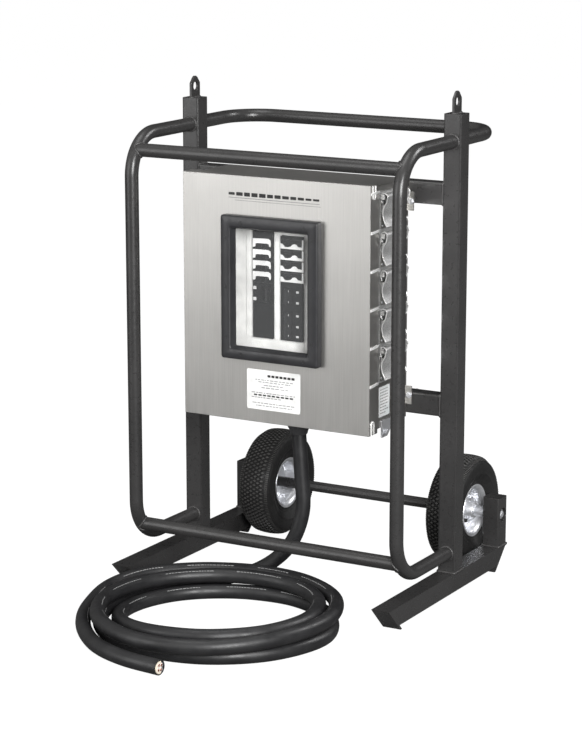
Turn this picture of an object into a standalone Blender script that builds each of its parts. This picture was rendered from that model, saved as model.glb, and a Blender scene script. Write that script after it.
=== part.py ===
"""Portable power distribution box on a wheeled tube frame.

Metres, +Z up, +X to the box's right hand, +Y to the rear (towards the wheels).
Depths are stated behind the uprights' front face and moved by ORIGIN_DEPTH, so
that the frame's origin is at the middle of the footprint, on the floor.
"""
import math

import bmesh
import bpy
from mathutils import Matrix, Vector

NAME = "portable_power_distribution_box"

# ---------------------------------------------------------------- dimensions
ORIGIN_DEPTH = 0.03375
GAP = 0.0003
CUT = 0.0100              # how far a cutter runs past the face it opens
SIDES = ((-1, "left"), (1, "right"))

TUBE = 0.04445            # 1-3/4 in square tube
TUBE_CORNER = 0.0045
PIPE_R = 0.015875         # 1-1/4 in round tube
BEND_R = 0.095
UPRIGHT_X = 0.3443
UPRIGHT_TOP = 1.1210

FOOT_LIFT = 0.0120
FOOT_TOP = FOOT_LIFT + TUBE
FOOT_FRONT = -0.3300
FOOT_REAR = 0.2860
FOOT_RAKE = 0.0580
FOOT_PLATE = 0.0075
POST_TOP = 0.1765

LOOP_FRONT = -0.2540
LOOP_TOP = 1.0587
LOOP_BOTTOM = 0.1017
TOP_RAIL_Y = -0.2322
TOP_RAIL_Z = 1.0240
BOTTOM_RAIL_Y = -0.2326
BOTTOM_RAIL_Z = 0.1365
REAR_LOOP_Y = 0.2450
REAR_LOOP_Z = 1.0597

RAIL_SHORT = 0.0040
RAIL_SLIM = 0.0002

RAIL_TALL = 0.0508
RAIL_DEEP = 0.0380
RAIL_FRONT = 0.0002
RAIL_CORNER = 0.0040
RAIL_Z_UPPER = 0.9395
RAIL_Z_LOWER = 0.4505

LUG_T = 0.0060
LUG_DEEP = 0.0380
LUG_TALL = 0.0500
LUG_HOLE_R = 0.0100
LUG_HOLE_UP = 0.0265
LUG_CLIP = ((0.0, 0.0160), (0.0110, 0.0030), (0.0160, 0.0))

WHEEL_R = 0.1335
WHEEL_X = 0.2590
AXLE_Y = 0.2640
AXLE_R = 0.0080
AXLE_CHAMFER = 0.0010
AXLE_SHORT = 0.0015
NUT_TALL = 0.0120
NUT_R = 0.0120
SPACER_R = 0.0127
HUB_HALF = 0.0330
ACCESS_R = 0.0165
ACCESS_DEEP = 0.0172
# Half sections as (radius, distance from the wheel's middle plane).
TYRE_SECTION = ((WHEEL_R, 0.0120), (WHEEL_R - 0.0040, 0.0310), (0.1200, 0.0405), (0.1060, 0.0440),
                (0.0910, 0.0425), (0.0740, 0.0325), (0.0600, 0.0290), (0.0560, 0.0285))
RIM_LIP = ((0.0640, HUB_HALF - 0.0018), (0.0555, 0.0300), (0.0550, 0.0180), (0.0500, 0.0160))
RIM_DISH = ((0.0530, HUB_HALF - 0.0005), (0.0475, 0.0170))
RIM_WEB_R = (0.0475, 0.0200)
RIM_WEB_OUT = 0.0060
HUB_R = 0.0175

DOOR_X = 0.2430
DOOR_Z0 = 0.4100
DOOR_Z1 = 0.9770
DOOR_FRONT = -0.1950
DOOR_REAR = -0.1540
SHEET = 0.0020
BODY_X = 0.2365
BODY_Z0 = 0.4165
BODY_Z1 = 0.9705
BODY_LIP = -0.1867
BODY_REAR = -0.0003
MOUTH_LIP = 0.0170
KNOCKOUT_R = 0.0180
EAR_OUT = 0.0150
EAR_THICK = 0.0024
EAR_TALL = 0.0430
EAR_INSET = 0.0002
EAR_HEIGHTS = (0.4685, 0.9185)

WIN_X0 = -0.1000
WIN_X1 = 0.0900
WIN_Z0 = 0.5850
WIN_Z1 = 0.8560
BEZEL_X0 = -0.1300
BEZEL_X1 = 0.1235
BEZEL_Z0 = 0.5560
BEZEL_Z1 = 0.8880
BEZEL_PROUD = 0.0200
BEZEL_CORNER = 0.0060
WINDOW_CORNER = 0.0030

HINGE_X = -0.2500
HINGE_Y = -0.1540
HINGE_Z0 = 0.4200
HINGE_Z1 = 0.9670
BARREL_R = 0.0045
HINGE_HOLE_R = 0.0023
HINGE_PIN_R = 0.0020
HINGE_LEAF_T = 0.0015
HINGE_SEAT = 0.0051
HINGE_LEAF_END = 0.0440
HINGE_LEAF_FRONT = 0.0260
HINGE_LEAF_BACK = 0.0010
FIXED_TAB_X = (-0.0012, 0.0030)
FIXED_TAB_Y = (0.0010, 0.0063)
MOVING_TAB_X = 0.0010
MOVING_TAB_Y = (-0.0035, -0.0014)
MOVING_TAB_SHORT = 0.0004
TAB_INSET = 0.0001
PIN_SHORT = 0.0010
KNUCKLES = 5
KNUCKLE_GAP = 0.0005

DEAD_FRONT = -0.1550
BANK_FACE = -0.1630
BANK_BACK = -0.0605
POLE = 0.0254
LEFT_BANK = (-0.0770, -0.0240)
RIGHT_BANK = (-0.0040, 0.0520)
TOGGLE_Y = -0.1530
TOGGLE_LEAN = math.radians(22.0)
# (name, bank side, middle height, poles)
TOGGLES = (
    ("toggle_left_1", -1, 0.8136, 1),
    ("toggle_left_2", -1, 0.7882, 1),
    ("toggle_left_3", -1, 0.7628, 1),
    ("toggle_left_4", -1, 0.7374, 1),
    ("toggle_left_5", -1, 0.7045, 2),
    ("toggle_right_1", 1, 0.8298, 1),
    ("toggle_right_2", 1, 0.8044, 1),
    ("toggle_right_3", 1, 0.7790, 1),
    ("toggle_right_4", 1, 0.7536, 1),
    ("toggle_right_5", 1, 0.7035, 2),
    ("toggle_right_6", 1, 0.6367, 3),
)
LEFT_BANK_Z = (0.6818, 0.8517)
LEFT_FILLER_Z = (0.6009, 0.6812)
RIGHT_BANK_Z = (0.6009, 0.8420)
TOGGLE_X = (-0.0450, 0.0170)
# Lever section along its length and across it, at rest on its pivot.
TOGGLE_SECTION = ((-0.0050, -0.0020), (-0.0040, -0.0040), (0.0030, -0.0042), (0.0190, -0.0024),
                  (0.0200, -0.0012), (0.0200, 0.0012), (0.0190, 0.0024), (0.0030, 0.0042),
                  (-0.0040, 0.0040), (-0.0050, 0.0020))
TOGGLE_TALL = 0.0080
WELL_HALF_X = 0.0100
WELL_HALF_Z = 0.0045
WELL_DEEP = 0.0170

PAN_X = 0.2000
PAN_Z = (0.4450, 0.9450)
PAN_T = 0.0030
COVER_X = 0.2030
COVER_Z = (0.4500, 0.9400)
COVER_T = 0.0015
BUS_Z = (0.5800, 0.8800)
BUS_X = (-0.0700, 0.0500)
BUS_STEP = 0.0300
BUS_BARS = ((-0.0560, -0.0380), (0.0180, 0.0360))
SEAL_OUT = (0.2330, 0.4200, 0.9670)
SEAL_WIDE = 0.0115
PANE_EDGE = 0.0045
PANE_T = 0.0030
PANE_FIT = 0.0005
PANE_INSET = 0.0001
SLOT_GAP = 0.0005

LIDS = 5
LID_TOP = 0.9570
LID_PITCH = 0.0868
LID_Y0 = -0.1460
LID_Y1 = -0.0360
LID_AXIS_OUT = 0.0140
LID_AXIS_DOWN = 0.0110
LID_BARREL_R = 0.0088
# The flap's curved section below its barrel, outwards and up from the axis.
LID_SKIN_OUT = ((0.0030, -0.0170), (-0.0015, -0.0255), (-0.0030, -0.0340), (-0.0022, -0.0440),
                (0.0008, -0.0530), (0.0050, -0.0610), (0.0075, -0.0665))
LID_SKIN_IN = ((0.0058, -0.0675), (0.0030, -0.0620), (-0.0012, -0.0540), (-0.0042, -0.0445),
               (-0.0052, -0.0340), (-0.0040, -0.0250), (-0.0050, -0.0170))
PANEL_T = 0.0030
PANEL_EDGE = 0.0040
WELL_R = 0.0215
WELL_DOWN = 0.0500
EAR_GAP = 0.0005
EAR_T = 0.0030
EAR_HALF = 0.0050
EAR_ROOT = 0.0010
EAR_PAST = 0.0040
STUB_R = 0.0020
STUB_IN = 0.0030
STUB_HOLE = 0.0036

CLIP_Y = (-0.1270, -0.1010, -0.0870)
CLIP_Z = (0.3930, 0.4060, 0.4320)
CLIP_T = 0.0040
BOLT_R = 0.0060
BOLT_AT = (-0.1130, 0.4050)
BOLT_OUT = 0.0110

GLAND_X = 0.0060
GLAND_Y = -0.0950
GLAND_Z = 0.3670
CORD_R = 0.01725
CORD_STEP = 0.0370
COIL_X = -0.0265
COIL_Y = -0.4416
COIL_R_OUT = 0.3005
COIL_R_IN = 0.1560
COIL_TALL = 0.0685
COIL_EDGE = 0.0060
COIL_LIFT = 0.0002
# Half section of the gland as (radius, height), from its flange down to its mouth.
GLAND_BORE = 0.0140
GLAND_SECTION = ((0.0300, 0.0000), (0.0300, -0.0050), (0.0270, -0.0060), (0.0270, -0.0240),
                 (0.0245, -0.0260), (0.0240, -0.0370), (0.0205, -0.0472), (0.0190, -0.0492))

# The cord's hanging stretch, from the gland to the back of the coil.
LEAD_ROUTE = (
    (0.0060, -0.0950, GLAND_Z - 2 * GAP),
    (0.0062, -0.0950, 0.3300),
    (0.0140, -0.0950, 0.2700),
    (0.0150, -0.0950, 0.2050),
    (0.0020, -0.0950, 0.1450),
    (-0.0280, -0.0945, 0.0900),
    (-0.0640, -0.0925, 0.0470),
    (-0.1040, -0.0950, 0.0225),
    (-0.1430, -0.1100, 0.0176),
    (-0.1800, -0.1370, 0.0176),
    (-0.2130, -0.1740, 0.0176),
)
# The cord's free end, from the front left of the coil to its cut end.
TAIL_ROUTE = (
    (-0.1560, -0.7338, 0.0176),
    (-0.1150, -0.7560, 0.0176),
    (-0.0560, -0.7790, 0.0176),
    (0.0030, -0.7880, 0.0176),
    (0.0620, -0.7880, 0.0176),
)


def depth(value):
    """Row Y of a depth behind the uprights' front face."""
    return value - ORIGIN_DEPTH


# ------------------------------------------------------------------- helpers
def clear_scene():
    for ob in list(bpy.data.objects):
        bpy.data.objects.remove(ob, do_unlink=True)


def collection(name):
    found = bpy.data.collections.get(name)
    if found is None:
        found = bpy.data.collections.new(name)
        bpy.context.scene.collection.children.link(found)
    return found


def material(name, color, roughness, metallic, alpha=1.0):
    mat = bpy.data.materials.get(name)
    if mat is not None:
        return mat
    mat = bpy.data.materials.new(name)
    mat.use_nodes = True
    shader = mat.node_tree.nodes["Principled BSDF"]
    shader.inputs["Base Color"].default_value = (*color, 1.0)
    shader.inputs["Roughness"].default_value = roughness
    shader.inputs["Metallic"].default_value = metallic
    shader.inputs["Alpha"].default_value = alpha
    mat.diffuse_color = (*color, alpha)
    return mat


def powder(node):
    return material(node, (0.045, 0.044, 0.043), 0.42, 0.0)


def steel(node):
    return material(node, (0.60, 0.59, 0.56), 0.36, 1.0)


def plastic(node, shade):
    return material(node, shade, 0.45, 0.0)


def rubber(node):
    return material(node, (0.022, 0.022, 0.023), 0.62, 0.0)


def place(ob, mat, smooth=False):
    """Put a finished object in the part's collection with its material."""
    for old in list(ob.users_collection):
        old.objects.unlink(ob)
    collection(NAME).objects.link(ob)
    ob.data.materials.clear()
    ob.data.materials.append(mat)
    if smooth:
        ob.data.shade_smooth()
        ob.data.set_sharp_from_angle(angle=math.radians(35.0))
    return ob


def mesh_object(name, bm):
    mesh = bpy.data.meshes.new(name)
    bm.to_mesh(mesh)
    bm.free()
    ob = bpy.data.objects.new(name, mesh)
    bpy.context.scene.collection.objects.link(ob)
    return ob


def box(name, low, high):
    """A cuboid between two corners, its origin at its centre."""
    low = Vector(low)
    high = Vector(high)
    bm = bmesh.new()
    bmesh.ops.create_cube(bm, size=1.0)
    bmesh.ops.scale(bm, vec=high - low, verts=bm.verts)
    ob = mesh_object(name, bm)
    ob.location = (low + high) / 2.0
    return ob


def cylinder(name, start, end, radius, sides=24):
    """A round bar between two points."""
    start = Vector(start)
    end = Vector(end)
    bm = bmesh.new()
    bmesh.ops.create_cone(bm, cap_ends=True, cap_tris=False, segments=sides,
                          radius1=radius, radius2=radius, depth=(end - start).length)
    ob = mesh_object(name, bm)
    ob.location = (start + end) / 2.0
    ob.rotation_mode = "QUATERNION"
    ob.rotation_quaternion = (end - start).to_track_quat("Z", "Y")
    return ob


def as_mesh(ob):
    """Turn a curve, or an object with modifiers, into a welded mesh object."""
    bpy.context.view_layer.update()
    graph = bpy.context.evaluated_depsgraph_get()
    mesh = bpy.data.meshes.new_from_object(ob.evaluated_get(graph))
    name = ob.name
    world = ob.matrix_world.copy()
    bpy.data.objects.remove(ob, do_unlink=True)
    bm = bmesh.new()
    bm.from_mesh(mesh)
    bmesh.ops.remove_doubles(bm, verts=bm.verts, dist=0.000005)
    bmesh.ops.recalc_face_normals(bm, faces=bm.faces)
    bm.to_mesh(mesh)
    bm.free()
    mesh.name = name
    made = bpy.data.objects.new(name, mesh)
    bpy.context.scene.collection.objects.link(made)
    made.matrix_world = world
    return made


def combine(ob, tool, operation="DIFFERENCE", keep=False):
    """Cut or join one object with another and keep the result as a mesh."""
    mod = ob.modifiers.new("cut", "BOOLEAN")
    mod.operation = operation
    mod.solver = "EXACT"
    mod.object = tool
    made = as_mesh(ob)
    if not keep:
        bpy.data.objects.remove(tool, do_unlink=True)
    return made


def rounded_rectangle(x0, x1, y0, y1, radius, steps=3):
    """Corner points of a rectangle, anticlockwise, with round corners."""
    if radius <= 0.0:
        return [(x0, y0), (x1, y0), (x1, y1), (x0, y1)]
    points = []
    corners = ((x1 - radius, y0 + radius, -90.0), (x1 - radius, y1 - radius, 0.0),
               (x0 + radius, y1 - radius, 90.0), (x0 + radius, y0 + radius, 180.0))
    for cx, cy, start in corners:
        for i in range(steps + 1):
            turn = math.radians(start + 90.0 * i / steps)
            points.append((cx + radius * math.cos(turn), cy + radius * math.sin(turn)))
    return points


def circle_points(cx, cy, radius, sides):
    return [(cx + radius * math.cos(2 * math.pi * i / sides),
             cy + radius * math.sin(2 * math.pi * i / sides)) for i in range(sides)]


# Columns of the turn that carries an outline's own x, y and its thickness into the frame.
PLANES = {
    "XY": Matrix(((1, 0, 0), (0, 1, 0), (0, 0, 1))),
    "XZ": Matrix(((1, 0, 0), (0, 0, -1), (0, 1, 0))),
    "YZ": Matrix(((0, 0, 1), (1, 0, 0), (0, 1, 0))),
}


def outline(name, loops, thickness, plane, middle):
    """A flat outline with any holes, extruded about a middle point."""
    curve = bpy.data.curves.new(name, "CURVE")
    curve.dimensions = "2D"
    curve.fill_mode = "BOTH"
    curve.extrude = thickness / 2.0
    for loop in loops:
        spline = curve.splines.new("POLY")
        spline.points.add(len(loop) - 1)
        for point, (u, v) in zip(spline.points, loop):
            point.co = (u, v, 0.0, 1.0)
        spline.use_cyclic_u = True
    ob = bpy.data.objects.new(name, curve)
    bpy.context.scene.collection.objects.link(ob)
    ob.matrix_world = Matrix.Translation(Vector(middle)) @ PLANES[plane].to_4x4()
    return as_mesh(ob)


def pipe(name, points, radius, resolution=6):
    """A round tube or bar along points."""
    curve = bpy.data.curves.new(name, "CURVE")
    curve.dimensions = "3D"
    curve.bevel_depth = radius
    curve.bevel_resolution = resolution
    curve.use_fill_caps = True
    spline = curve.splines.new("POLY")
    spline.points.add(len(points) - 1)
    for point, co in zip(spline.points, points):
        point.co = (*co, 1.0)
    ob = bpy.data.objects.new(name, curve)
    bpy.context.scene.collection.objects.link(ob)
    return as_mesh(ob)


def bent(corners, radius, steps=8):
    """Points along straight runs that meet in round bends."""
    points = [Vector(corners[0])]
    for before, corner, after in zip(corners, corners[1:], corners[2:]):
        corner = Vector(corner)
        back = (Vector(before) - corner).normalized()
        on = (Vector(after) - corner).normalized()
        half = back.angle(on) / 2.0
        reach = radius / math.tan(half)
        middle = corner + (back + on).normalized() * (radius / math.sin(half))
        start = corner + back * reach - middle
        end = corner + on * reach - middle
        total = start.angle(end)
        for i in range(steps + 1):
            t = i / steps
            arm = (start * math.sin((1 - t) * total) + end * math.sin(t * total)) / math.sin(total)
            points.append(middle + arm)
    points.append(Vector(corners[-1]))
    return points


def smooth_route(route, spacing):
    """Points at even steps along a smooth curve through a route's points."""
    route = [Vector(p) for p in route]
    fine = []
    padded = [2 * route[0] - route[1]] + route + [2 * route[-1] - route[-2]]
    for a, b, c, d in zip(padded, padded[1:], padded[2:], padded[3:]):
        for i in range(24):
            t = i / 24.0
            fine.append(0.5 * ((2 * b) + (c - a) * t + (2 * a - 5 * b + 4 * c - d) * t * t
                               + (3 * b - a - 3 * c + d) * t * t * t))
    fine.append(route[-1])
    lengths = [0.0]
    for a, b in zip(fine, fine[1:]):
        lengths.append(lengths[-1] + (b - a).length)
    count = max(2, round(lengths[-1] / spacing))
    points = []
    at = 0
    for i in range(count + 1):
        goal = lengths[-1] * i / count
        while at < len(fine) - 2 and lengths[at + 1] < goal:
            at += 1
        part = (goal - lengths[at]) / max(lengths[at + 1] - lengths[at], 1e-9)
        points.append(fine[at].lerp(fine[at + 1], part))
    return points


def turned(name, profile, steps, location, axis="Z", closed=False):
    """A profile of (radius, height) points spun about an axis."""
    bm = bmesh.new()
    verts = [bm.verts.new((radius, 0.0, height)) for radius, height in profile]
    for a, b in zip(verts, verts[1:]):
        bm.edges.new((a, b))
    if closed:
        bm.edges.new((verts[-1], verts[0]))
    ob = mesh_object(name, bm)
    spin = ob.modifiers.new("turn", "SCREW")
    spin.axis = "Z"
    spin.steps = steps
    spin.render_steps = steps
    spin.use_merge_vertices = True
    spin.merge_threshold = 0.00001
    spin.use_smooth_shade = True
    if axis == "X":
        ob.rotation_euler = (0.0, math.radians(90.0), 0.0)
    ob.location = location
    return as_mesh(ob)


def set_origin(ob, point):
    """Move an object's origin to a world point and leave its shape in place."""
    bpy.context.view_layer.update()
    world = ob.matrix_world.copy()
    ob.data.transform(Matrix.Translation(-Vector(point)) @ world)
    ob.matrix_world = Matrix.Translation(Vector(point))
    return ob


def axis_empty(name, point):
    ob = bpy.data.objects.new(name, None)
    ob.empty_display_size = 0.05
    ob.location = point
    collection(NAME).objects.link(ob)
    return ob


def hang_on(parent, children):
    bpy.context.view_layer.update()
    for child in children:
        child.parent = parent
        child.matrix_parent_inverse = parent.matrix_world.inverted()


# --------------------------------------------------------------------- frame
def square_bar(name, x, y0, z0, z1):
    """A square bar with round edges, standing behind a depth."""
    half = TUBE / 2.0
    ring = rounded_rectangle(-half, half, -half, half, TUBE_CORNER)
    return outline(name, [ring], z1 - z0, "XY", (x, depth(y0) + half, (z0 + z1) / 2.0))


def make_uprights():
    for side, word in SIDES:
        name = "upright_" + word
        ob = square_bar(name, side * UPRIGHT_X, 0.0, FOOT_TOP + GAP, UPRIGHT_TOP)
        place(ob, powder(name), smooth=True)


def make_feet():
    """Runners with raked ends, whose end plates reach just below the tube."""
    bottom_front = FOOT_FRONT + FOOT_RAKE
    bottom_rear = FOOT_REAR - FOOT_RAKE
    lean = FOOT_RAKE / FOOT_TOP
    profile = (
        (FOOT_FRONT, FOOT_TOP),
        (bottom_front, 0.0),
        (bottom_front + FOOT_PLATE, 0.0),
        (bottom_front + FOOT_PLATE - lean * FOOT_LIFT, FOOT_LIFT),
        (bottom_rear - FOOT_PLATE + lean * FOOT_LIFT, FOOT_LIFT),
        (bottom_rear - FOOT_PLATE, 0.0),
        (bottom_rear, 0.0),
        (FOOT_REAR, FOOT_TOP),
    )
    points = [(depth(y), z) for y, z in profile]
    for side, word in SIDES:
        name = "foot_" + word
        place(outline(name, [points], TUBE, "YZ", (side * UPRIGHT_X, 0.0, 0.0)), powder(name))


def make_wheel_posts():
    """Short posts with a bore for the axle and a wide access hole outside."""
    y = depth(AXLE_Y)
    for side, word in SIDES:
        name = "wheel_post_" + word
        x = side * UPRIGHT_X
        inner_face = x - side * TUBE / 2.0
        outer_face = x + side * TUBE / 2.0
        ob = square_bar(name, x, FOOT_REAR - TUBE, FOOT_TOP + GAP, POST_TOP)
        bore = cylinder(name + "_bore", (inner_face - side * CUT, y, WHEEL_R),
                        (outer_face + side * CUT, y, WHEEL_R), AXLE_R + GAP, 16)
        ob = combine(ob, bore)
        access = cylinder(name + "_access", (outer_face - side * ACCESS_DEEP, y, WHEEL_R),
                          (outer_face + side * CUT, y, WHEEL_R), ACCESS_R, 20)
        place(combine(ob, access), powder(name), smooth=True)


def loop_points(side):
    x = side * UPRIGHT_X
    end = depth(-GAP)
    front = depth(LOOP_FRONT)
    return bent(((x, end, LOOP_TOP), (x, front, LOOP_TOP), (x, front, LOOP_BOTTOM),
                 (x, end, LOOP_BOTTOM)), BEND_R)


def make_side_loops():
    for side, word in SIDES:
        name = "side_loop_" + word
        place(pipe(name, loop_points(side), PIPE_R), powder(name), smooth=True)


def make_front_rails():
    """Straight rails between the side loops, their ends coped to the loops' bends."""
    reach = UPRIGHT_X - RAIL_SHORT
    for name, y, z in (("front_top_rail", TOP_RAIL_Y, TOP_RAIL_Z),
                       ("front_bottom_rail", BOTTOM_RAIL_Y, BOTTOM_RAIL_Z)):
        ob = cylinder(name, (-reach, depth(y), z), (reach, depth(y), z), PIPE_R - RAIL_SLIM, 18)
        for side, _ in SIDES:
            ob = combine(ob, pipe("cope", loop_points(side), PIPE_R + GAP))
        place(ob, powder(name), smooth=True)


def make_rear_top_loop():
    start = depth(TUBE + GAP)
    back = depth(REAR_LOOP_Y)
    z = REAR_LOOP_Z
    points = bent(((-UPRIGHT_X, start, z), (-UPRIGHT_X, back, z), (UPRIGHT_X, back, z),
                   (UPRIGHT_X, start, z)), BEND_R)
    place(pipe("rear_top_loop", points, PIPE_R), powder("rear_top_loop"), smooth=True)


def make_mounting_rails():
    length = 2.0 * (UPRIGHT_X - TUBE / 2.0 - GAP)
    y0 = depth(RAIL_FRONT)
    for name, z in (("mounting_rail_upper", RAIL_Z_UPPER), ("mounting_rail_lower", RAIL_Z_LOWER)):
        ring = rounded_rectangle(y0, y0 + RAIL_DEEP, z - RAIL_TALL / 2, z + RAIL_TALL / 2, RAIL_CORNER)
        place(outline(name, [ring], length, "YZ", (0.0, 0.0, 0.0)), powder(name), smooth=True)


def make_lifting_lugs():
    """Flat ears with clipped upper corners and a hoisting hole."""
    middle = depth(TUBE / 2.0)
    half = LUG_DEEP / 2.0
    z0 = UPRIGHT_TOP + GAP
    z1 = UPRIGHT_TOP + LUG_TALL
    rear = [(middle + half - inwards, z1 - down) for inwards, down in LUG_CLIP]
    front = [(middle - half + inwards, z1 - down) for inwards, down in reversed(LUG_CLIP)]
    ring = [(middle - half, z0), (middle + half, z0)] + rear + front
    hole = circle_points(middle, UPRIGHT_TOP + LUG_HOLE_UP, LUG_HOLE_R, 16)
    for side, word in SIDES:
        name = "lifting_lug_" + word
        place(outline(name, [ring, hole], LUG_T, "YZ", (side * UPRIGHT_X, 0.0, 0.0)), powder(name))


# -------------------------------------------------------------- running gear
def make_axle():
    """Axle bar with a nut at each end, and the spacer tubes threaded on it."""
    y = depth(AXLE_Y)
    end = UPRIGHT_X + TUBE / 2.0 - AXLE_SHORT
    seat = UPRIGHT_X + TUBE / 2.0 - ACCESS_DEEP + GAP
    half = [(0.0, end), (AXLE_R - AXLE_CHAMFER, end), (AXLE_R, end - AXLE_CHAMFER),
            (AXLE_R, seat + NUT_TALL), (NUT_R, seat + NUT_TALL), (NUT_R, seat), (AXLE_R, seat)]
    profile = half + [(radius, -along) for radius, along in reversed(half)]
    rod = turned("axle_rod", profile, 16, (0.0, y, WHEEL_R), axis="X")
    place(rod, material("axle_rod", (0.62, 0.62, 0.60), 0.30, 1.0), smooth=True)
    hub_in = WHEEL_X - HUB_HALF
    hub_out = WHEEL_X + HUB_HALF
    wall_in = UPRIGHT_X - TUBE / 2.0
    spans = (("axle_spacer", -hub_in + GAP, hub_in - GAP),
             ("axle_spacer_left", -wall_in + GAP, -hub_out - GAP),
             ("axle_spacer_right", hub_out + GAP, wall_in - GAP))
    for name, x0, x1 in spans:
        reach = (x1 - x0) / 2.0
        bore = AXLE_R + GAP
        ring = [(SPACER_R, reach), (SPACER_R, -reach), (bore, -reach), (bore, reach)]
        tube = turned(name, ring, 20, ((x0 + x1) / 2.0, y, WHEEL_R), axis="X", closed=True)
        place(tube, powder(name), smooth=True)


def rim_ring(side):
    """The rim's closed section: lips, well, dished web and hub, bored for the axle."""
    web = side * RIM_WEB_OUT
    bore = AXLE_R + GAP
    lip = list(RIM_LIP)
    far_lip = [(radius, -along) for radius, along in reversed(lip)]
    dish = list(RIM_DISH)
    far_dish = [(radius, -along) for radius, along in dish]
    edge = RIM_LIP[0][0]
    far_face = [(edge, -HUB_HALF)] + far_dish
    far_face += [(RIM_WEB_R[0], web - 0.0030), (RIM_WEB_R[1], web - 0.0010), (HUB_R, -HUB_HALF),
                 (bore, -HUB_HALF)]
    near_face = [(bore, HUB_HALF), (HUB_R, HUB_HALF), (RIM_WEB_R[1], web + 0.0012),
                 (RIM_WEB_R[0], web - 0.0008)]
    near_face += list(reversed(dish)) + [(edge, HUB_HALF)]
    return lip + far_lip + far_face + near_face


def make_wheels():
    tyre_profile = list(reversed(TYRE_SECTION)) + [(radius, -along) for radius, along in TYRE_SECTION]
    for side, word in SIDES:
        centre = (side * WHEEL_X, depth(AXLE_Y), WHEEL_R)
        tyre = turned("tyre_" + word, tyre_profile, 36, centre, axis="X", closed=True)
        place(tyre, rubber("tyre_" + word), smooth=True)
        rim = turned("rim_" + word, rim_ring(side), 28, centre, axis="X", closed=True)
        place(rim, material("rim_" + word, (0.74, 0.75, 0.77), 0.28, 1.0), smooth=True)
        hang_on(axis_empty("wheel_axis_" + word, centre), (tyre, rim))


# ----------------------------------------------------------------- enclosure
def make_enclosure_body():
    y0 = depth(BODY_LIP)
    y1 = depth(BODY_REAR)
    ob = box("enclosure_body", (-BODY_X, y0, BODY_Z0), (BODY_X, y1, BODY_Z1))
    ob = combine(ob, box("mouth", (-BODY_X + MOUTH_LIP, y0 - CUT, BODY_Z0 + MOUTH_LIP),
                         (BODY_X - MOUTH_LIP, y0 + CUT, BODY_Z1 - MOUTH_LIP)))
    ob = combine(ob, box("cavity", (-BODY_X + SHEET, y0 + SHEET, BODY_Z0 + SHEET),
                         (BODY_X - SHEET, y1 - SHEET, BODY_Z1 - SHEET)))
    ob = combine(ob, cylinder("knockout", (GLAND_X, depth(GLAND_Y), BODY_Z0 - CUT),
                              (GLAND_X, depth(GLAND_Y), BODY_Z0 + CUT), KNOCKOUT_R, 20))
    for side, _ in SIDES:
        for z in EAR_HEIGHTS:
            inner = side * (BODY_X - SHEET / 2.0)
            outer = side * (BODY_X + EAR_OUT)
            ear = box("ear", (min(inner, outer), y1 - EAR_THICK - EAR_INSET, z - EAR_TALL / 2.0),
                      (max(inner, outer), y1 - EAR_INSET, z + EAR_TALL / 2.0))
            ob = combine(ob, ear, "UNION")
    place(ob, steel("enclosure_body"))


def hinge_knuckles():
    """Height spans of the knuckles; the first and every other one sit on the body's leaf."""
    step = (HINGE_Z1 - HINGE_Z0) / KNUCKLES
    return [(HINGE_Z0 + i * step + KNUCKLE_GAP / 2.0, HINGE_Z0 + (i + 1) * step - KNUCKLE_GAP / 2.0)
            for i in range(KNUCKLES)]


def make_hinge():
    """Continuous hinge: a leaf on the body, a leaf on the door's flange and a pin."""
    hx = HINGE_X
    hy = depth(HINGE_Y)
    z_mid = (HINGE_Z0 + HINGE_Z1) / 2.0
    tall = HINGE_Z1 - HINGE_Z0
    thick = HINGE_LEAF_T
    side = -BODY_X - GAP
    seat = hy + HINGE_SEAT
    bracket = [(hx - thick, seat), (side, seat), (side, hy + HINGE_LEAF_END),
               (side - thick, hy + HINGE_LEAF_END), (side - thick, seat + thick),
               (hx - thick, seat + thick)]
    fixed = outline("hinge_leaf_fixed", [bracket], tall, "XY", (0.0, 0.0, z_mid))
    flange = -DOOR_X - GAP
    leaf = [(flange - thick, hy - HINGE_LEAF_FRONT), (flange, hy - HINGE_LEAF_FRONT),
            (flange, hy - HINGE_LEAF_BACK), (flange - thick, hy - HINGE_LEAF_BACK)]
    moving = outline("hinge_leaf_moving", [leaf], tall, "XY", (0.0, 0.0, z_mid))
    for i, (z0, z1) in enumerate(hinge_knuckles()):
        low = z0 + TAB_INSET
        high = z1 - TAB_INSET
        barrel = cylinder("barrel", (hx, hy, z0), (hx, hy, z1), BARREL_R, 16)
        if i % 2 == 0:
            tab = box("tab", (hx + FIXED_TAB_X[0], hy + FIXED_TAB_Y[0], low),
                      (hx + FIXED_TAB_X[1], hy + FIXED_TAB_Y[1], high))
            fixed = combine(fixed, combine(barrel, tab, "UNION"), "UNION")
        else:
            tab = box("tab", (hx + MOVING_TAB_X, hy + MOVING_TAB_Y[0], low),
                      (flange - MOVING_TAB_SHORT, hy + MOVING_TAB_Y[1], high))
            moving = combine(moving, combine(barrel, tab, "UNION"), "UNION")
    bore = cylinder("bore", (hx, hy, HINGE_Z0 - CUT), (hx, hy, HINGE_Z1 + CUT), HINGE_HOLE_R, 12)
    fixed = combine(fixed, bore, keep=True)
    moving = combine(moving, bore)
    pin = cylinder("hinge_pin", (hx, hy, HINGE_Z0 + PIN_SHORT), (hx, hy, HINGE_Z1 - PIN_SHORT),
                   HINGE_PIN_R, 12)
    place(fixed, steel("hinge_leaf_fixed"))
    place(moving, steel("hinge_leaf_moving"))
    place(pin, steel("hinge_pin"), smooth=True)
    return moving


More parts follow.
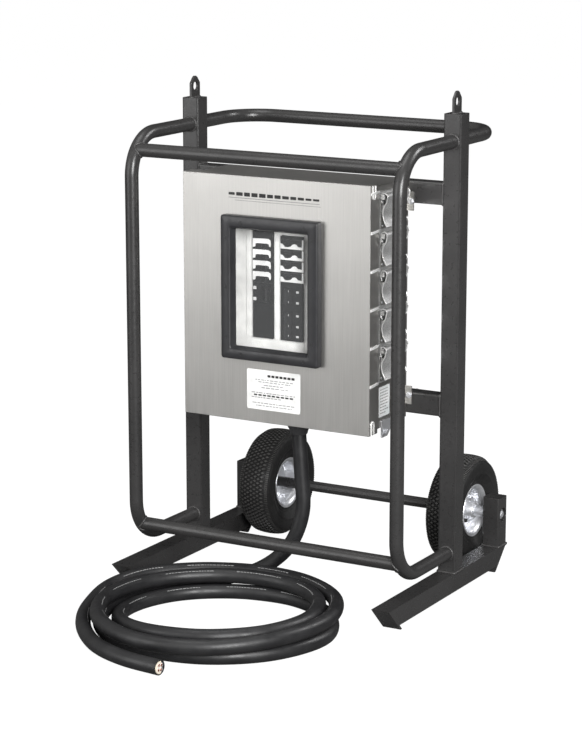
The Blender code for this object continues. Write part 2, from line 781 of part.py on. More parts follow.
def make_door():
    """Flanged door with its window, bezel and seal, hung on the moving hinge leaf."""
    y0 = depth(DOOR_FRONT)
    y1 = depth(DOOR_REAR)
    door = box("door", (-DOOR_X, y0, DOOR_Z0), (DOOR_X, y1, DOOR_Z1))
    door = combine(door, box("pan", (-DOOR_X + SHEET, y0 + SHEET, DOOR_Z0 + SHEET),
                             (DOOR_X - SHEET, y1 + CUT, DOOR_Z1 - SHEET)))
    edge = PANE_EDGE
    door = combine(door, box("window", (WIN_X0 - edge, y0 - CUT, WIN_Z0 - edge),
                             (WIN_X1 + edge, y0 + CUT, WIN_Z1 + edge)))
    place(door, steel("door"))

    inset = edge - PANE_FIT
    front = y0 + PANE_INSET
    pane = box("window_pane", (WIN_X0 - inset, front, WIN_Z0 - inset),
               (WIN_X1 + inset, front + PANE_T, WIN_Z1 + inset))
    place(pane, material("window_pane", (0.80, 0.82, 0.84), 0.05, 0.0, 0.25))

    half, low, high = SEAL_OUT
    wide = SEAL_WIDE
    seal_out = rounded_rectangle(-half, half, low, high, 0.0)
    seal_in = rounded_rectangle(-half + wide, half - wide, low + wide, high - wide, 0.0)
    seal_y0 = y0 + SHEET + GAP
    seal_y1 = depth(BODY_LIP) - GAP
    seal = outline("door_gasket", [seal_out, seal_in], seal_y1 - seal_y0, "XZ",
                   (0.0, (seal_y0 + seal_y1) / 2.0, 0.0))
    place(seal, rubber("door_gasket"))

    ring = rounded_rectangle(BEZEL_X0, BEZEL_X1, BEZEL_Z0, BEZEL_Z1, BEZEL_CORNER)
    hole = rounded_rectangle(WIN_X0, WIN_X1, WIN_Z0, WIN_Z1, WINDOW_CORNER)
    front = y0 - BEZEL_PROUD
    back = y0 - GAP
    bezel = outline("window_frame", [ring, hole], back - front, "XZ", (0.0, (front + back) / 2.0, 0.0))
    place(bezel, material("window_frame", (0.035, 0.036, 0.038), 0.5, 0.0))

    moving = make_hinge()
    pivot = axis_empty("door_axis", (HINGE_X, depth(HINGE_Y), (HINGE_Z0 + HINGE_Z1) / 2.0))
    hang_on(pivot, (door, pane, seal, bezel, moving))


def make_interior():
    """Back pan, moulded bus base, white cover and the filler below the left breakers."""
    back = depth(BODY_REAR) - SHEET
    base = back - GAP - PAN_T
    pan = box("back_pan", (-PAN_X, base, PAN_Z[0]), (PAN_X, back - GAP, PAN_Z[1]))
    place(pan, material("back_pan", (0.55, 0.55, 0.54), 0.45, 0.6))

    foot = base - GAP
    deck = foot - BUS_STEP
    bar = depth(BANK_BACK) + GAP
    stair = [(BUS_X[0], foot), (BUS_X[0], deck)]
    for x0, x1 in BUS_BARS:
        stair += [(x0, deck), (x0, bar), (x1, bar), (x1, deck)]
    stair += [(BUS_X[1], deck), (BUS_X[1], foot)]
    bus = outline("bus_assembly", [stair], BUS_Z[1] - BUS_Z[0], "XY", (0.0, 0.0, sum(BUS_Z) / 2.0))
    place(bus, plastic("bus_assembly", (0.16, 0.16, 0.17)))

    y0 = depth(DEAD_FRONT)
    half = COVER_X
    thick = COVER_T
    channel = [(-half, foot), (-half, y0), (half, y0), (half, foot), (half - thick, foot),
               (half - thick, y0 + thick), (-half + thick, y0 + thick), (-half + thick, foot)]
    cover = outline("dead_front", [channel], COVER_Z[1] - COVER_Z[0], "XY", (0.0, 0.0, sum(COVER_Z) / 2.0))
    for bank, span in ((LEFT_BANK, (LEFT_FILLER_Z[0], LEFT_BANK_Z[1])), (RIGHT_BANK, RIGHT_BANK_Z)):
        slot = box("slot", (bank[0] - SLOT_GAP, y0 - CUT, span[0] - SLOT_GAP),
                   (bank[1] + SLOT_GAP, y0 + CUT, span[1] + SLOT_GAP))
        cover = combine(cover, slot)
    place(cover, plastic("dead_front", (0.82, 0.82, 0.80)))

    filler = box("filler_blank", (LEFT_BANK[0], depth(BANK_FACE), LEFT_FILLER_Z[0]),
                 (LEFT_BANK[1], depth(BANK_BACK), LEFT_FILLER_Z[1]))
    place(filler, plastic("filler_blank", (0.02, 0.02, 0.02)))


def toggle_x(side):
    return TOGGLE_X[0] if side < 0 else TOGGLE_X[1]


def make_breakers():
    """Two columns of breakers, each with a well for every lever."""
    for side, word, bank, span in ((-1, "left", LEFT_BANK, LEFT_BANK_Z),
                                   (1, "right", RIGHT_BANK, RIGHT_BANK_Z)):
        name = "breaker_bank_" + word
        front = depth(BANK_FACE)
        ob = box(name, (bank[0], front, span[0]), (bank[1], depth(BANK_BACK), span[1]))
        x = toggle_x(side)
        for _, toggle_side, z, poles in TOGGLES:
            if toggle_side != side:
                continue
            half = WELL_HALF_Z + (poles - 1) * POLE / 2.0
            well = box("well", (x - WELL_HALF_X, front - CUT, z - half),
                       (x + WELL_HALF_X, front + WELL_DEEP, z + half))
            ob = combine(ob, well)
        place(ob, plastic(name, (0.022, 0.022, 0.024)))


def make_toggles():
    """Levers that lean towards the middle of the panel when they are on."""
    y = depth(TOGGLE_Y)
    for name, side, z, poles in TOGGLES:
        turn = -math.pi / 2.0 - side * TOGGLE_LEAN
        ring = [(u * math.cos(turn) - v * math.sin(turn), u * math.sin(turn) + v * math.cos(turn))
                for u, v in TOGGLE_SECTION]
        lever = outline(name, [ring], TOGGLE_TALL + (poles - 1) * POLE, "XY", (toggle_x(side), y, z))
        place(lever, plastic(name, (0.03, 0.03, 0.03)))


def make_outlet_panel():
    """Side panel with five outlet wells and a pair of pivot ears at each lid."""
    x0 = BODY_X + GAP
    axis_x = BODY_X + LID_AXIS_OUT
    middle_y = depth((LID_Y0 + LID_Y1) / 2.0)
    panel = box("outlet_panel", (x0, depth(LID_Y0 - PANEL_EDGE), LID_TOP - LIDS * LID_PITCH),
                (x0 + PANEL_T, depth(LID_Y1 + PANEL_EDGE), LID_TOP))
    for i in range(LIDS):
        top = LID_TOP - i * LID_PITCH
        z = top - LID_AXIS_DOWN
        well = cylinder("well", (x0 + PANEL_T / 3.0, middle_y, top - WELL_DOWN),
                        (x0 + CUT, middle_y, top - WELL_DOWN), WELL_R, 20)
        panel = combine(panel, well)
        for edge, away in ((LID_Y0, -1), (LID_Y1, 1)):
            near = edge + away * EAR_GAP
            far = near + away * EAR_T
            ear = box("ear", (x0 + PANEL_T - EAR_ROOT, depth(min(near, far)), z - EAR_HALF),
                      (axis_x + EAR_PAST, depth(max(near, far)), z + EAR_HALF))
            stub = cylinder("stub", (axis_x, depth(far) - away * EAR_T / 2.0, z),
                            (axis_x, depth(edge) - away * (STUB_IN - EAR_GAP), z), STUB_R, 12)
            panel = combine(panel, combine(ear, stub, "UNION"), "UNION")
    place(panel, steel("outlet_panel"))


def lid_ring():
    """The flap's section: a barrel at the axis and a curved skin below it."""
    barrel = []
    for step in range(13):
        turn = math.radians(-45.0 + 270.0 * step / 12)
        barrel.append((LID_BARREL_R * math.cos(turn), LID_BARREL_R * math.sin(turn)))
    return list(reversed(LID_SKIN_OUT)) + barrel + list(reversed(LID_SKIN_IN))


def make_outlet_lids():
    """Five sprung flaps, each turning about the stubs of its ears."""
    axis_x = BODY_X + LID_AXIS_OUT
    middle_y = depth((LID_Y0 + LID_Y1) / 2.0)
    for i in range(LIDS):
        z = LID_TOP - i * LID_PITCH - LID_AXIS_DOWN
        name = "outlet_lid_%d" % (i + 1)
        points = [(axis_x + u, z + v) for u, v in lid_ring()]
        lid = outline(name, [points], LID_Y1 - LID_Y0, "XZ", (0.0, middle_y, 0.0))
        for y in (LID_Y0, LID_Y1):
            hole = cylinder("hole", (axis_x, depth(y) - STUB_HOLE, z), (axis_x, depth(y) + STUB_HOLE, z),
                            STUB_R + GAP, 12)
            lid = combine(lid, hole)
        set_origin(lid, (axis_x, middle_y, z))
        place(lid, steel(name), smooth=True)


def make_ground_lug():
    """Angle clip with a clamp bolt, low on the box's right side."""
    x0 = BODY_X + GAP
    front, notch, back = CLIP_Y
    low, shoulder, high = CLIP_Z
    clip = [(depth(front), low), (depth(notch), low), (depth(back), shoulder), (depth(back), high),
            (depth(front), high)]
    ob = outline("ground_lug", [clip], CLIP_T, "YZ", (x0 + CLIP_T / 2.0, 0.0, 0.0))
    y, z = BOLT_AT
    bolt = cylinder("bolt", (x0 + CLIP_T - EAR_ROOT, depth(y), z), (x0 + BOLT_OUT, depth(y), z), BOLT_R, 6)
    place(combine(ob, bolt, "UNION"), material("ground_lug", (0.50, 0.42, 0.28), 0.38, 1.0))


# --------------------------------------------------------------- supply cord
def make_cord():
    """Gland, hanging lead, coil and free end of the supply cord."""
    top = BODY_Z0 - GAP
    profile = [(radius, top - GLAND_Z + height) for radius, height in GLAND_SECTION]
    profile += [(GLAND_BORE, profile[-1][1]), (GLAND_BORE, profile[0][1])]
    gland = turned("cord_gland", profile, 24, (GLAND_X, depth(GLAND_Y), GLAND_Z), closed=True)
    place(gland, plastic("cord_gland", (0.06, 0.06, 0.062)), smooth=True)

    for name, route in (("cord_lead", LEAD_ROUTE), ("cord_tail", TAIL_ROUTE)):
        world = [(x, depth(y), z) for x, y, z in route]
        tube = pipe(name, smooth_route(world, CORD_STEP), CORD_R, resolution=2)
        place(tube, rubber(name), smooth=True)

    edge = COIL_EDGE
    ring = [(COIL_R_IN, COIL_TALL - edge), (COIL_R_IN + edge, COIL_TALL),
            (COIL_R_OUT - edge, COIL_TALL), (COIL_R_OUT, COIL_TALL - edge),
            (COIL_R_OUT, edge), (COIL_R_OUT - edge, COIL_LIFT), (COIL_R_IN + edge, COIL_LIFT),
            (COIL_R_IN, edge)]
    coil = turned("cord_coil", ring, 40, (COIL_X, depth(COIL_Y), 0.0), closed=True)
    place(coil, rubber("cord_coil"), smooth=True)


def main():
    clear_scene()
    collection(NAME)
    make_uprights()
    make_feet()
    make_wheel_posts()
    make_side_loops()
    make_front_rails()
    make_rear_top_loop()
    make_mounting_rails()
    make_lifting_lugs()
    make_axle()
    make_wheels()
    make_enclosure_body()
    make_door()
    make_interior()
    make_breakers()
    make_toggles()
    make_outlet_panel()
    make_outlet_lids()
    make_ground_lug()
    make_cord()


main()
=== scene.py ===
"""Looks of the portable power distribution box: cord, frame, wheels, box, panel and outlets.

Everything is in metres in the CAD model's frame: +X to the box's right hand, +Y to the wheels, +Z up.
Depths are stated behind the uprights' front face, as in the part's source, and moved by ORIGIN_DEPTH.
"""
import math
import random

import bmesh
import bpy
from mathutils import Matrix, Vector


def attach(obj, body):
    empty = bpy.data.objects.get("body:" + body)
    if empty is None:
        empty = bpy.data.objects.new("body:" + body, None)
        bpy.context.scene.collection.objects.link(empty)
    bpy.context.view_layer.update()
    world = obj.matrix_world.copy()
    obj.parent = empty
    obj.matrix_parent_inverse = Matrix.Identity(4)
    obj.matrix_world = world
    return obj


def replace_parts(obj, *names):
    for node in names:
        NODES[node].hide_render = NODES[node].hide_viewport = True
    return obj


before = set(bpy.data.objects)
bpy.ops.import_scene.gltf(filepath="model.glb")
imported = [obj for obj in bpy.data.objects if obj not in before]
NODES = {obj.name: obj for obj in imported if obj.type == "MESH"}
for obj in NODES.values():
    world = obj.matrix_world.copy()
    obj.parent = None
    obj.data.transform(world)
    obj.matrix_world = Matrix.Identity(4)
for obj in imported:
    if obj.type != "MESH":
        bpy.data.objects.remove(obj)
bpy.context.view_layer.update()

# ------------------------------------------------------------ shared sizes
ORIGIN_DEPTH = 0.03375
TUBE = 0.04445
PIPE_R = 0.015875
BEND_R = 0.095
UPRIGHT_X = 0.3443
LOOP_FRONT = -0.2540
LOOP_TOP = 1.0587
LOOP_BOTTOM = 0.1017
REAR_LOOP_Y = 0.2450
REAR_LOOP_Z = 1.0597
CORD_R = 0.01725
COIL_X = -0.0265
COIL_Y = -0.4416
FRONT_RAILS = (("front_top_rail", -0.2322, 1.0240), ("front_bottom_rail", -0.2326, 0.1365))
OUTLETS = 5
LID_TOP = 0.9570
LID_PITCH = 0.0868


def depth(value):
    """World Y of a depth behind the uprights' front face."""
    return value - ORIGIN_DEPTH


# --------------------------------------------------------------- materials
def shader_node(tree, kind, **inputs):
    """A new shader node with its named inputs set."""
    made = tree.nodes.new("ShaderNode" + kind)
    for key, value in inputs.items():
        made.inputs[key.replace("_", " ")].default_value = value
    return made


class Paint:
    """A Principled material with short calls for the nodes that feed it."""

    def __init__(self, name, color=(0.5, 0.5, 0.5), roughness=0.5, metallic=0.0, **sockets):
        self.mat = bpy.data.materials.new(name)
        self.mat.use_nodes = True
        self.tree = self.mat.node_tree
        self.bsdf = self.tree.nodes["Principled BSDF"]
        self.bsdf.inputs["Base Color"].default_value = (*color, 1.0)
        self.bsdf.inputs["Roughness"].default_value = roughness
        self.bsdf.inputs["Metallic"].default_value = metallic
        for key, value in sockets.items():
            self.bsdf.inputs[key.replace("_", " ")].default_value = value

    def node(self, kind, **inputs):
        return shader_node(self.tree, kind, **inputs)

    def link(self, source, target):
        self.tree.links.new(source, target)

    def noise(self, scale, detail=3.0, roughness=0.5, stretch=(1.0, 1.0, 1.0)):
        coords = self.node("TexCoord")
        mapping = self.node("Mapping", Scale=stretch)
        made = self.node("TexNoise", Scale=scale, Detail=detail, Roughness=roughness)
        self.link(coords.outputs["Object"], mapping.inputs["Vector"])
        self.link(mapping.outputs["Vector"], made.inputs["Vector"])
        return made.outputs["Fac"]

    def colors(self, value, dark, light, low=0.3, high=0.7):
        """A colour that runs from dark to light along a noise."""
        made = self.node("ValToRGB")
        for element, position, color in zip(made.color_ramp.elements, (low, high), (dark, light)):
            element.position = position
            element.color = (*color, 1.0)
        self.link(value, made.inputs["Fac"])
        return made.outputs["Color"]

    def multiply(self, first, second):
        made = self.node("Mix")
        made.data_type = "RGBA"
        made.blend_type = "MULTIPLY"
        made.inputs[0].default_value = 1.0
        self.link(first, made.inputs[6])
        self.link(second, made.inputs[7])
        return made.outputs[2]

    def base(self, value):
        self.link(value, self.bsdf.inputs["Base Color"])

    def tones(self, value, dark, light, low=0.3, high=0.7):
        self.base(self.colors(value, dark, light, low, high))

    def rough(self, value, smooth, coarse):
        """Roughness that runs from smooth to coarse along a noise."""
        made = self.node("MapRange", From_Min=0.3, From_Max=0.7, To_Min=smooth, To_Max=coarse)
        self.link(value, made.inputs["Value"])
        self.link(made.outputs["Result"], self.bsdf.inputs["Roughness"])

    def bump(self, height, strength=0.2, distance=0.0005):
        made = self.node("Bump", Strength=strength, Distance=distance)
        self.link(height, made.inputs["Height"])
        self.link(made.outputs["Normal"], self.bsdf.inputs["Normal"])


def powder_coat():
    paint = Paint("powder_coat", roughness=0.31, Specular_IOR_Level=0.5)
    drift = paint.noise(7.0, 4.0)
    paint.tones(drift, (0.026, 0.0255, 0.0255), (0.036, 0.035, 0.035))
    paint.rough(paint.noise(90.0, 3.0), 0.25, 0.37)
    paint.bump(paint.noise(900.0, 2.0), 0.22, 0.0004)
    return paint.mat


def weld_bead():
    paint = Paint("weld_bead", roughness=0.40)
    paint.tones(paint.noise(120.0), (0.030, 0.029, 0.029), (0.060, 0.058, 0.058))
    paint.bump(paint.noise(500.0), 0.3, 0.0006)
    return paint.mat


def brushed_stainless(name="brushed_stainless", tone=(0.60, 0.59, 0.57), grain=(1400.0, 1400.0, 7.0)):
    paint = Paint(name, roughness=0.36, metallic=1.0)
    lines = paint.noise(1.0, 3.0, 0.6, grain)
    cloud = paint.noise(5.0, 4.0)
    dark = tuple(c * 0.90 for c in tone)
    light = tuple(min(1.0, c * 1.08) for c in tone)
    brushed = paint.colors(lines, dark, light)
    smear = paint.colors(cloud, (0.93, 0.93, 0.93), (1.0, 1.0, 1.0), 0.35, 0.65)
    paint.base(paint.multiply(brushed, smear))
    paint.rough(lines, 0.30, 0.46)
    paint.bump(lines, 0.10, 0.0002)
    return paint.mat


def bright_lid():
    paint = Paint("bright_lid", roughness=0.30, metallic=0.75)
    lines = paint.noise(1.0, 3.0, 0.6, (30.0, 900.0, 900.0))
    paint.tones(lines, (0.80, 0.80, 0.80), (0.90, 0.90, 0.89))
    paint.rough(lines, 0.24, 0.38)
    paint.bump(lines, 0.08, 0.0002)
    return paint.mat


def strap_metal():
    """A paler, less metallic copy of the lid metal for the lids' rolled edges, the straps and the hems: a
    painted highlight that makes them read as bright glints.
    """
    paint = Paint("strap_metal", roughness=0.34, metallic=0.35)
    lines = paint.noise(1.0, 3.0, 0.6, (30.0, 700.0, 700.0))
    paint.tones(lines, (0.86, 0.86, 0.85), (0.95, 0.95, 0.94))
    paint.rough(lines, 0.28, 0.42)
    paint.bump(lines, 0.08, 0.0002)
    return paint.mat


def bright_zinc():
    paint = Paint("bright_zinc", roughness=0.34, metallic=0.8)
    spangle = paint.noise(45.0, 4.0)
    paint.tones(spangle, (0.86, 0.87, 0.90), (0.78, 0.79, 0.82))
    paint.rough(paint.noise(25.0, 4.0), 0.30, 0.42)
    paint.bump(paint.noise(120.0), 0.03, 0.0002)
    return paint.mat


def tyre_rubber():
    paint = Paint("tyre_rubber", roughness=0.62, Specular_IOR_Level=0.4)
    dust = paint.noise(14.0, 5.0)
    paint.tones(dust, (0.009, 0.009, 0.009), (0.020, 0.0195, 0.0195), 0.35, 0.75)
    paint.rough(paint.noise(70.0), 0.50, 0.74)
    paint.bump(paint.noise(700.0, 4.0), 0.25, 0.0004)
    return paint.mat


def tread_tops():
    """Knob faces, paler with dry dust."""
    paint = Paint("tread_tops", roughness=0.55, Specular_IOR_Level=0.5)
    paint.tones(paint.noise(25.0, 5.0), (0.045, 0.044, 0.043), (0.085, 0.083, 0.080))
    paint.rough(paint.noise(70.0), 0.42, 0.62)
    paint.bump(paint.noise(700.0, 4.0), 0.2, 0.0004)
    return paint.mat


def cord_jacket():
    paint = Paint("cord_jacket", roughness=0.45, Specular_IOR_Level=0.5)
    paint.tones(paint.noise(18.0, 4.0), (0.010, 0.010, 0.011), (0.020, 0.020, 0.021), 0.3, 0.75)
    paint.rough(paint.noise(45.0, 4.0), 0.36, 0.54)
    paint.bump(paint.noise(380.0, 4.0), 0.18, 0.0005)
    return paint.mat


def moulded(name, color, roughness=0.45, texture=600.0, shine=0.5):
    """Moulded plastic with a fine spark-eroded texture."""
    paint = Paint(name, roughness=roughness, Specular_IOR_Level=shine)
    dark = tuple(c * 0.82 for c in color)
    light = tuple(min(1.0, c * 1.18) for c in color)
    paint.tones(paint.noise(22.0, 4.0), dark, light)
    paint.rough(paint.noise(80.0), roughness - 0.07, roughness + 0.08)
    paint.bump(paint.noise(texture, 3.0), 0.15, 0.0003)
    return paint.mat


def clear_sheet():
    paint = Paint("clear_sheet", color=(0.9, 0.92, 0.93), roughness=0.04, Alpha=0.03, Specular_IOR_Level=0.2)
    paint.rough(paint.noise(6.0), 0.02, 0.07)
    return paint.mat


def copper():
    paint = Paint("copper_strands", roughness=0.32, metallic=1.0)
    paint.tones(paint.noise(700.0), (0.62, 0.26, 0.14), (0.92, 0.50, 0.32))
    paint.bump(paint.noise(900.0), 0.3, 0.0004)
    return paint.mat


MATERIALS = {}


def setup_materials():
    MATERIALS.update(
        powder=powder_coat(),
        weld=weld_bead(),
        steel=brushed_stainless(),
        lid=bright_lid(),
        # paler copy of the lid metal: painted highlight on the rolled edges, straps and hems
        strap=strap_metal(),
        zinc=bright_zinc(),
        tyre=tyre_rubber(),
        tread=tread_tops(),
        cord=cord_jacket(),
        cord_ink=moulded("cord_ink", (0.26, 0.26, 0.26), 0.5),
        bezel=moulded("bezel_plastic", (0.022, 0.022, 0.024), 0.38),
        breaker=moulded("breaker_plastic", (0.005, 0.005, 0.0055), 0.45, 900.0, 0.05),
        label=moulded("label_white", (0.80, 0.80, 0.79), 0.5, 300.0),
        enamel=moulded("white_enamel", (0.84, 0.84, 0.82), 0.4, 500.0),
        gland=moulded("gland_plastic", (0.045, 0.045, 0.047), 0.40),
        seal=moulded("seal_rubber", (0.02, 0.02, 0.02), 0.7),
        bus=moulded("bus_moulding", (0.16, 0.16, 0.17), 0.5),
        print=moulded("print_grey", (0.62, 0.62, 0.62), 0.5),
        ink=moulded("print_black", (0.015, 0.015, 0.015), 0.5),
        clear=clear_sheet(),
        copper=copper(),
        filler=moulded("cream_filler", (0.80, 0.72, 0.58), 0.7),
        bolt=bright_zinc(),
        pan=brushed_stainless("pan_steel", (0.50, 0.50, 0.49), (6.0, 900.0, 900.0)),
        toggle=moulded("toggle_plastic", (0.013, 0.013, 0.014), 0.32, 900.0, 0.15),
        screw_black=moulded("screw_black", (0.022, 0.022, 0.023), 0.35, 900.0),
        print_grey=moulded("rule_grey", (0.22, 0.22, 0.22), 0.5),
        print_dark=moulded("print_dark", (0.30, 0.30, 0.30), 0.5),
        label_cool=moulded("label_cool", (0.86, 0.93, 0.93), 0.5, 300.0),
    )


def paint_node(name, key, bevel=0.0):
    """Gives a CAD node its material and, where it has hard edges, a fine bevel."""
    ob = NODES[name]
    ob.data.materials.clear()
    ob.data.materials.append(MATERIALS[key])
    if bevel > 0.0:
        soften(ob, bevel)


# ----------------------------------------------------------------- helpers
def finish_object(name, data, key):
    ob = bpy.data.objects.new(name, data)
    bpy.context.scene.collection.objects.link(ob)
    data.materials.append(MATERIALS[key])
    return ob


def from_bmesh(name, bm, key, smooth=True, angle=35.0):
    bmesh.ops.recalc_face_normals(bm, faces=bm.faces)
    mesh = bpy.data.meshes.new(name)
    bm.to_mesh(mesh)
    bm.free()
    ob = finish_object(name, mesh, key)
    if smooth:
        mesh.shade_smooth()
        mesh.set_sharp_from_angle(angle=math.radians(angle))
    return ob


def soften(ob, width, angle=32.0):
    """Welds split corners and rounds the hard edges."""
    weld = ob.modifiers.new("weld", "WELD")
    weld.merge_threshold = 0.00001
    mod = ob.modifiers.new("edges", "BEVEL")
    mod.width = width
    mod.segments = 2
    mod.limit_method = "ANGLE"
    mod.angle_limit = math.radians(angle)
    mod.harden_normals = False
    return ob


def add_box(bm, low, high):
    low = Vector(low)
    high = Vector(high)
    made = bmesh.ops.create_cube(bm, size=1.0)["verts"]
    bmesh.ops.scale(bm, vec=high - low, verts=made)
    bmesh.ops.translate(bm, vec=(low + high) / 2.0, verts=made)


def add_rod(bm, start, end, radius, sides=24, radius_end=None):
    start = Vector(start)
    end = Vector(end)
    made = bmesh.ops.create_cone(bm, cap_ends=True, segments=sides, radius1=radius,
                                 radius2=radius if radius_end is None else radius_end,
                                 depth=(end - start).length)["verts"]
    turn = (end - start).to_track_quat("Z", "Y").to_matrix().to_4x4()
    bmesh.ops.transform(bm, matrix=Matrix.Translation((start + end) / 2.0) @ turn, verts=made)


def tube(name, points, radius, key, resolution):
    curve = bpy.data.curves.new(name, "CURVE")
    curve.dimensions = "3D"
    curve.bevel_depth = radius
    curve.bevel_resolution = resolution
    curve.use_fill_caps = True
    spline = curve.splines.new("POLY")
    spline.points.add(len(points) - 1)
    for point, co in zip(spline.points, points):
        point.co = (*co, 1.0)
    spline.use_smooth = True
    return finish_object(name, curve, key)


def bent(corners):
    """Points along straight runs that meet in the frame's round bends."""
    steps = 24
    points = [Vector(corners[0])]
    for before, corner, after in zip(corners, corners[1:], corners[2:]):
        corner = Vector(corner)
        back = (Vector(before) - corner).normalized()
        on = (Vector(after) - corner).normalized()
        half = back.angle(on) / 2.0
        reach = BEND_R / math.tan(half)
        middle = corner + (back + on).normalized() * (BEND_R / math.sin(half))
        start = corner + back * reach - middle
        end = corner + on * reach - middle
        total = start.angle(end)
        for i in range(steps + 1):
            t = i / steps
            arm = (start * math.sin((1 - t) * total) + end * math.sin(t * total)) / math.sin(total)
            points.append(middle + arm)
    points.append(Vector(corners[-1]))
    return points


def spline_through(route, count):
    """count points per span on a smooth curve through a route's points."""
    route = [Vector(p) for p in route]
    padded = [2 * route[0] - route[1]] + route + [2 * route[-1] - route[-2]]
    points = []
    for a, b, c, d in zip(padded, padded[1:], padded[2:], padded[3:]):
        for i in range(count):
            t = i / count
            points.append(0.5 * ((2 * b) + (c - a) * t + (2 * a - 5 * b + 4 * c - d) * t * t
                                 + (3 * b - a - 3 * c + d) * t * t * t))
    points.append(route[-1])
    return points


def evenly(points, spacing):
    """The same path with points at even steps."""
    lengths = [0.0]
    for a, b in zip(points, points[1:]):
        lengths.append(lengths[-1] + (b - a).length)
    count = max(2, round(lengths[-1] / spacing))
    made = []
    at = 0
    for i in range(count + 1):
        goal = lengths[-1] * i / count
        while at < len(points) - 2 and lengths[at + 1] < goal:
            at += 1
        part = (goal - lengths[at]) / max(lengths[at + 1] - lengths[at], 1e-9)
        made.append(points[at].lerp(points[at + 1], part))
    return made


def band(bm, ring, after, count=None):
    """Quads between two rows of corners, all the way round or over the first few gaps."""
    for j in range(count or len(ring)):
        k = (j + 1) % len(ring)
        bm.faces.new((ring[j], ring[k], after[k], after[j]))


def lathe(name, profile, centre, key, steps):
    """A closed section of (radius, distance) corners spun about the X axis through centre."""
    bm = bmesh.new()
    rows = []
    for i in range(steps):
        turn = 2.0 * math.pi * i / steps
        rows.append([bm.verts.new((r * math.cos(turn), r * math.sin(turn), h)) for r, h in profile])
    for i, row in enumerate(rows):
        after = rows[(i + 1) % steps]
        for j in range(len(profile)):
            k = (j + 1) % len(profile)
            bm.faces.new((row[j], after[j], after[k], row[k]))
    bmesh.ops.remove_doubles(bm, verts=bm.verts, dist=1e-7)
    bmesh.ops.rotate(bm, verts=bm.verts, cent=(0, 0, 0), matrix=Matrix.Rotation(math.radians(90.0), 3, "Y"))
    bmesh.ops.translate(bm, verts=bm.verts, vec=centre)
    return from_bmesh(name, bm, key)


# -------------------------------------------------------- camera and stage
def make_camera():
    data = bpy.data.cameras.new("camera")
    data.sensor_width = 36.0
    data.lens = 116.06
    data.clip_start = 0.1
    data.clip_end = 60.0
    ob = bpy.data.objects.new("camera", data)
    bpy.context.scene.collection.objects.link(ob)
    ob.location = (2.6927, depth(-4.8509), 1.7319)
    ob.rotation_euler = (math.radians(90.0 - 12.640), 0.0, math.radians(29.657))
    bpy.context.scene.camera = ob


def area_light(name, location, target, size, power):
    data = bpy.data.lights.new(name, "AREA")
    data.shape = "RECTANGLE"
    data.size = size[0]
    data.size_y = size[1]
    data.energy = power
    ob = bpy.data.objects.new(name, data)
    bpy.context.scene.collection.objects.link(ob)
    ob.location = location
    ob.rotation_euler = (Vector(target) - Vector(location)).to_track_quat("-Z", "Y").to_euler()


def sky():
    """White to the camera; to the object a studio, bright in front and on the left, dim behind."""
    world = bpy.data.worlds.new("studio")
    bpy.context.scene.world = world
    world.use_nodes = True
    tree = world.node_tree
    back = tree.nodes["Background"]
    plain = shader_node(tree, "Background", Color=(1.0, 1.0, 1.0, 1.0), Strength=1.0)
    coords = shader_node(tree, "TexCoord")
    aim = shader_node(tree, "VectorMath")
    aim.operation = "DOT_PRODUCT"
    aim.inputs[1].default_value = (-0.42, -0.80, 0.43)
    ramp = shader_node(tree, "ValToRGB")
    dark, bright = ramp.color_ramp.elements
    dark.position = 0.36
    dark.color = (0.018, 0.018, 0.020, 1.0)
    bright.position = 0.90
    bright.color = (1.0, 0.99, 0.97, 1.0)
    spread = shader_node(tree, "MapRange", From_Min=-1.0)
    path = shader_node(tree, "LightPath")
    mix = shader_node(tree, "MixShader")
    output = tree.nodes["World Output"]
    back.inputs["Strength"].default_value = 0.50
    for source, target in ((coords.outputs["Generated"], aim.inputs[0]),
                           (aim.outputs["Value"], spread.inputs["Value"]),
                           (spread.outputs["Result"], ramp.inputs["Fac"]),
                           (ramp.outputs["Color"], back.inputs["Color"]),
                           (path.outputs["Is Camera Ray"], mix.inputs["Fac"]),
                           (back.outputs["Background"], mix.inputs[1]),
                           (plain.outputs["Background"], mix.inputs[2]),
                           (mix.outputs["Shader"], output.inputs["Surface"])):
        tree.links.new(source, target)


def floor_material():
    """Pale floor that keeps its bounce on the object low."""
    mat = bpy.data.materials.new("floor_white")
    mat.use_nodes = True
    tree = mat.node_tree
    tree.nodes.remove(tree.nodes["Principled BSDF"])
    output = tree.nodes["Material Output"]
    lit = shader_node(tree, "BsdfDiffuse", Color=(0.95, 0.95, 0.95, 1.0))
    glow = shader_node(tree, "Emission", Strength=1.12)
    seen = shader_node(tree, "MixShader", Fac=0.86)
    dim = shader_node(tree, "BsdfDiffuse", Color=(0.16, 0.16, 0.16, 1.0))
    path = shader_node(tree, "LightPath")
    mix = shader_node(tree, "MixShader")
    for source, target in ((lit.outputs[0], seen.inputs[1]), (glow.outputs[0], seen.inputs[2]),
                           (path.outputs["Is Camera Ray"], mix.inputs["Fac"]), (dim.outputs[0],
                                                                                mix.inputs[1]),
                           (seen.outputs[0], mix.inputs[2]), (mix.outputs[0], output.inputs["Surface"])):
        tree.links.new(source, target)
    return mat


def make_stage():
    bpy.context.scene.view_settings.view_transform = "Standard"
    sky()
    bm = bmesh.new()
    bmesh.ops.create_grid(bm, x_segments=1, y_segments=1, size=30.0)
    mesh = bpy.data.meshes.new("floor")
    bm.to_mesh(mesh)
    bm.free()
    mesh.materials.append(floor_material())
    floor = bpy.data.objects.new("floor", mesh)
    floor.location = (0.0, 0.0, -0.0005)
    bpy.context.scene.collection.objects.link(floor)

    middle = (0.0, -0.1, 0.6)
    area_light("key", (3.3, -3.5, 2.1), middle, (1.5, 2.2), 320.0)
    area_light("left_box", (-2.4, -3.9, 1.55), middle, (2.6, 3.0), 60.0)
    area_light("top", (-0.3, -0.6, 3.8), middle, (1.8, 1.8), 30.0)
    area_light("rim", (3.0, 2.6, 3.3), middle, (1.6, 1.6), 90.0)


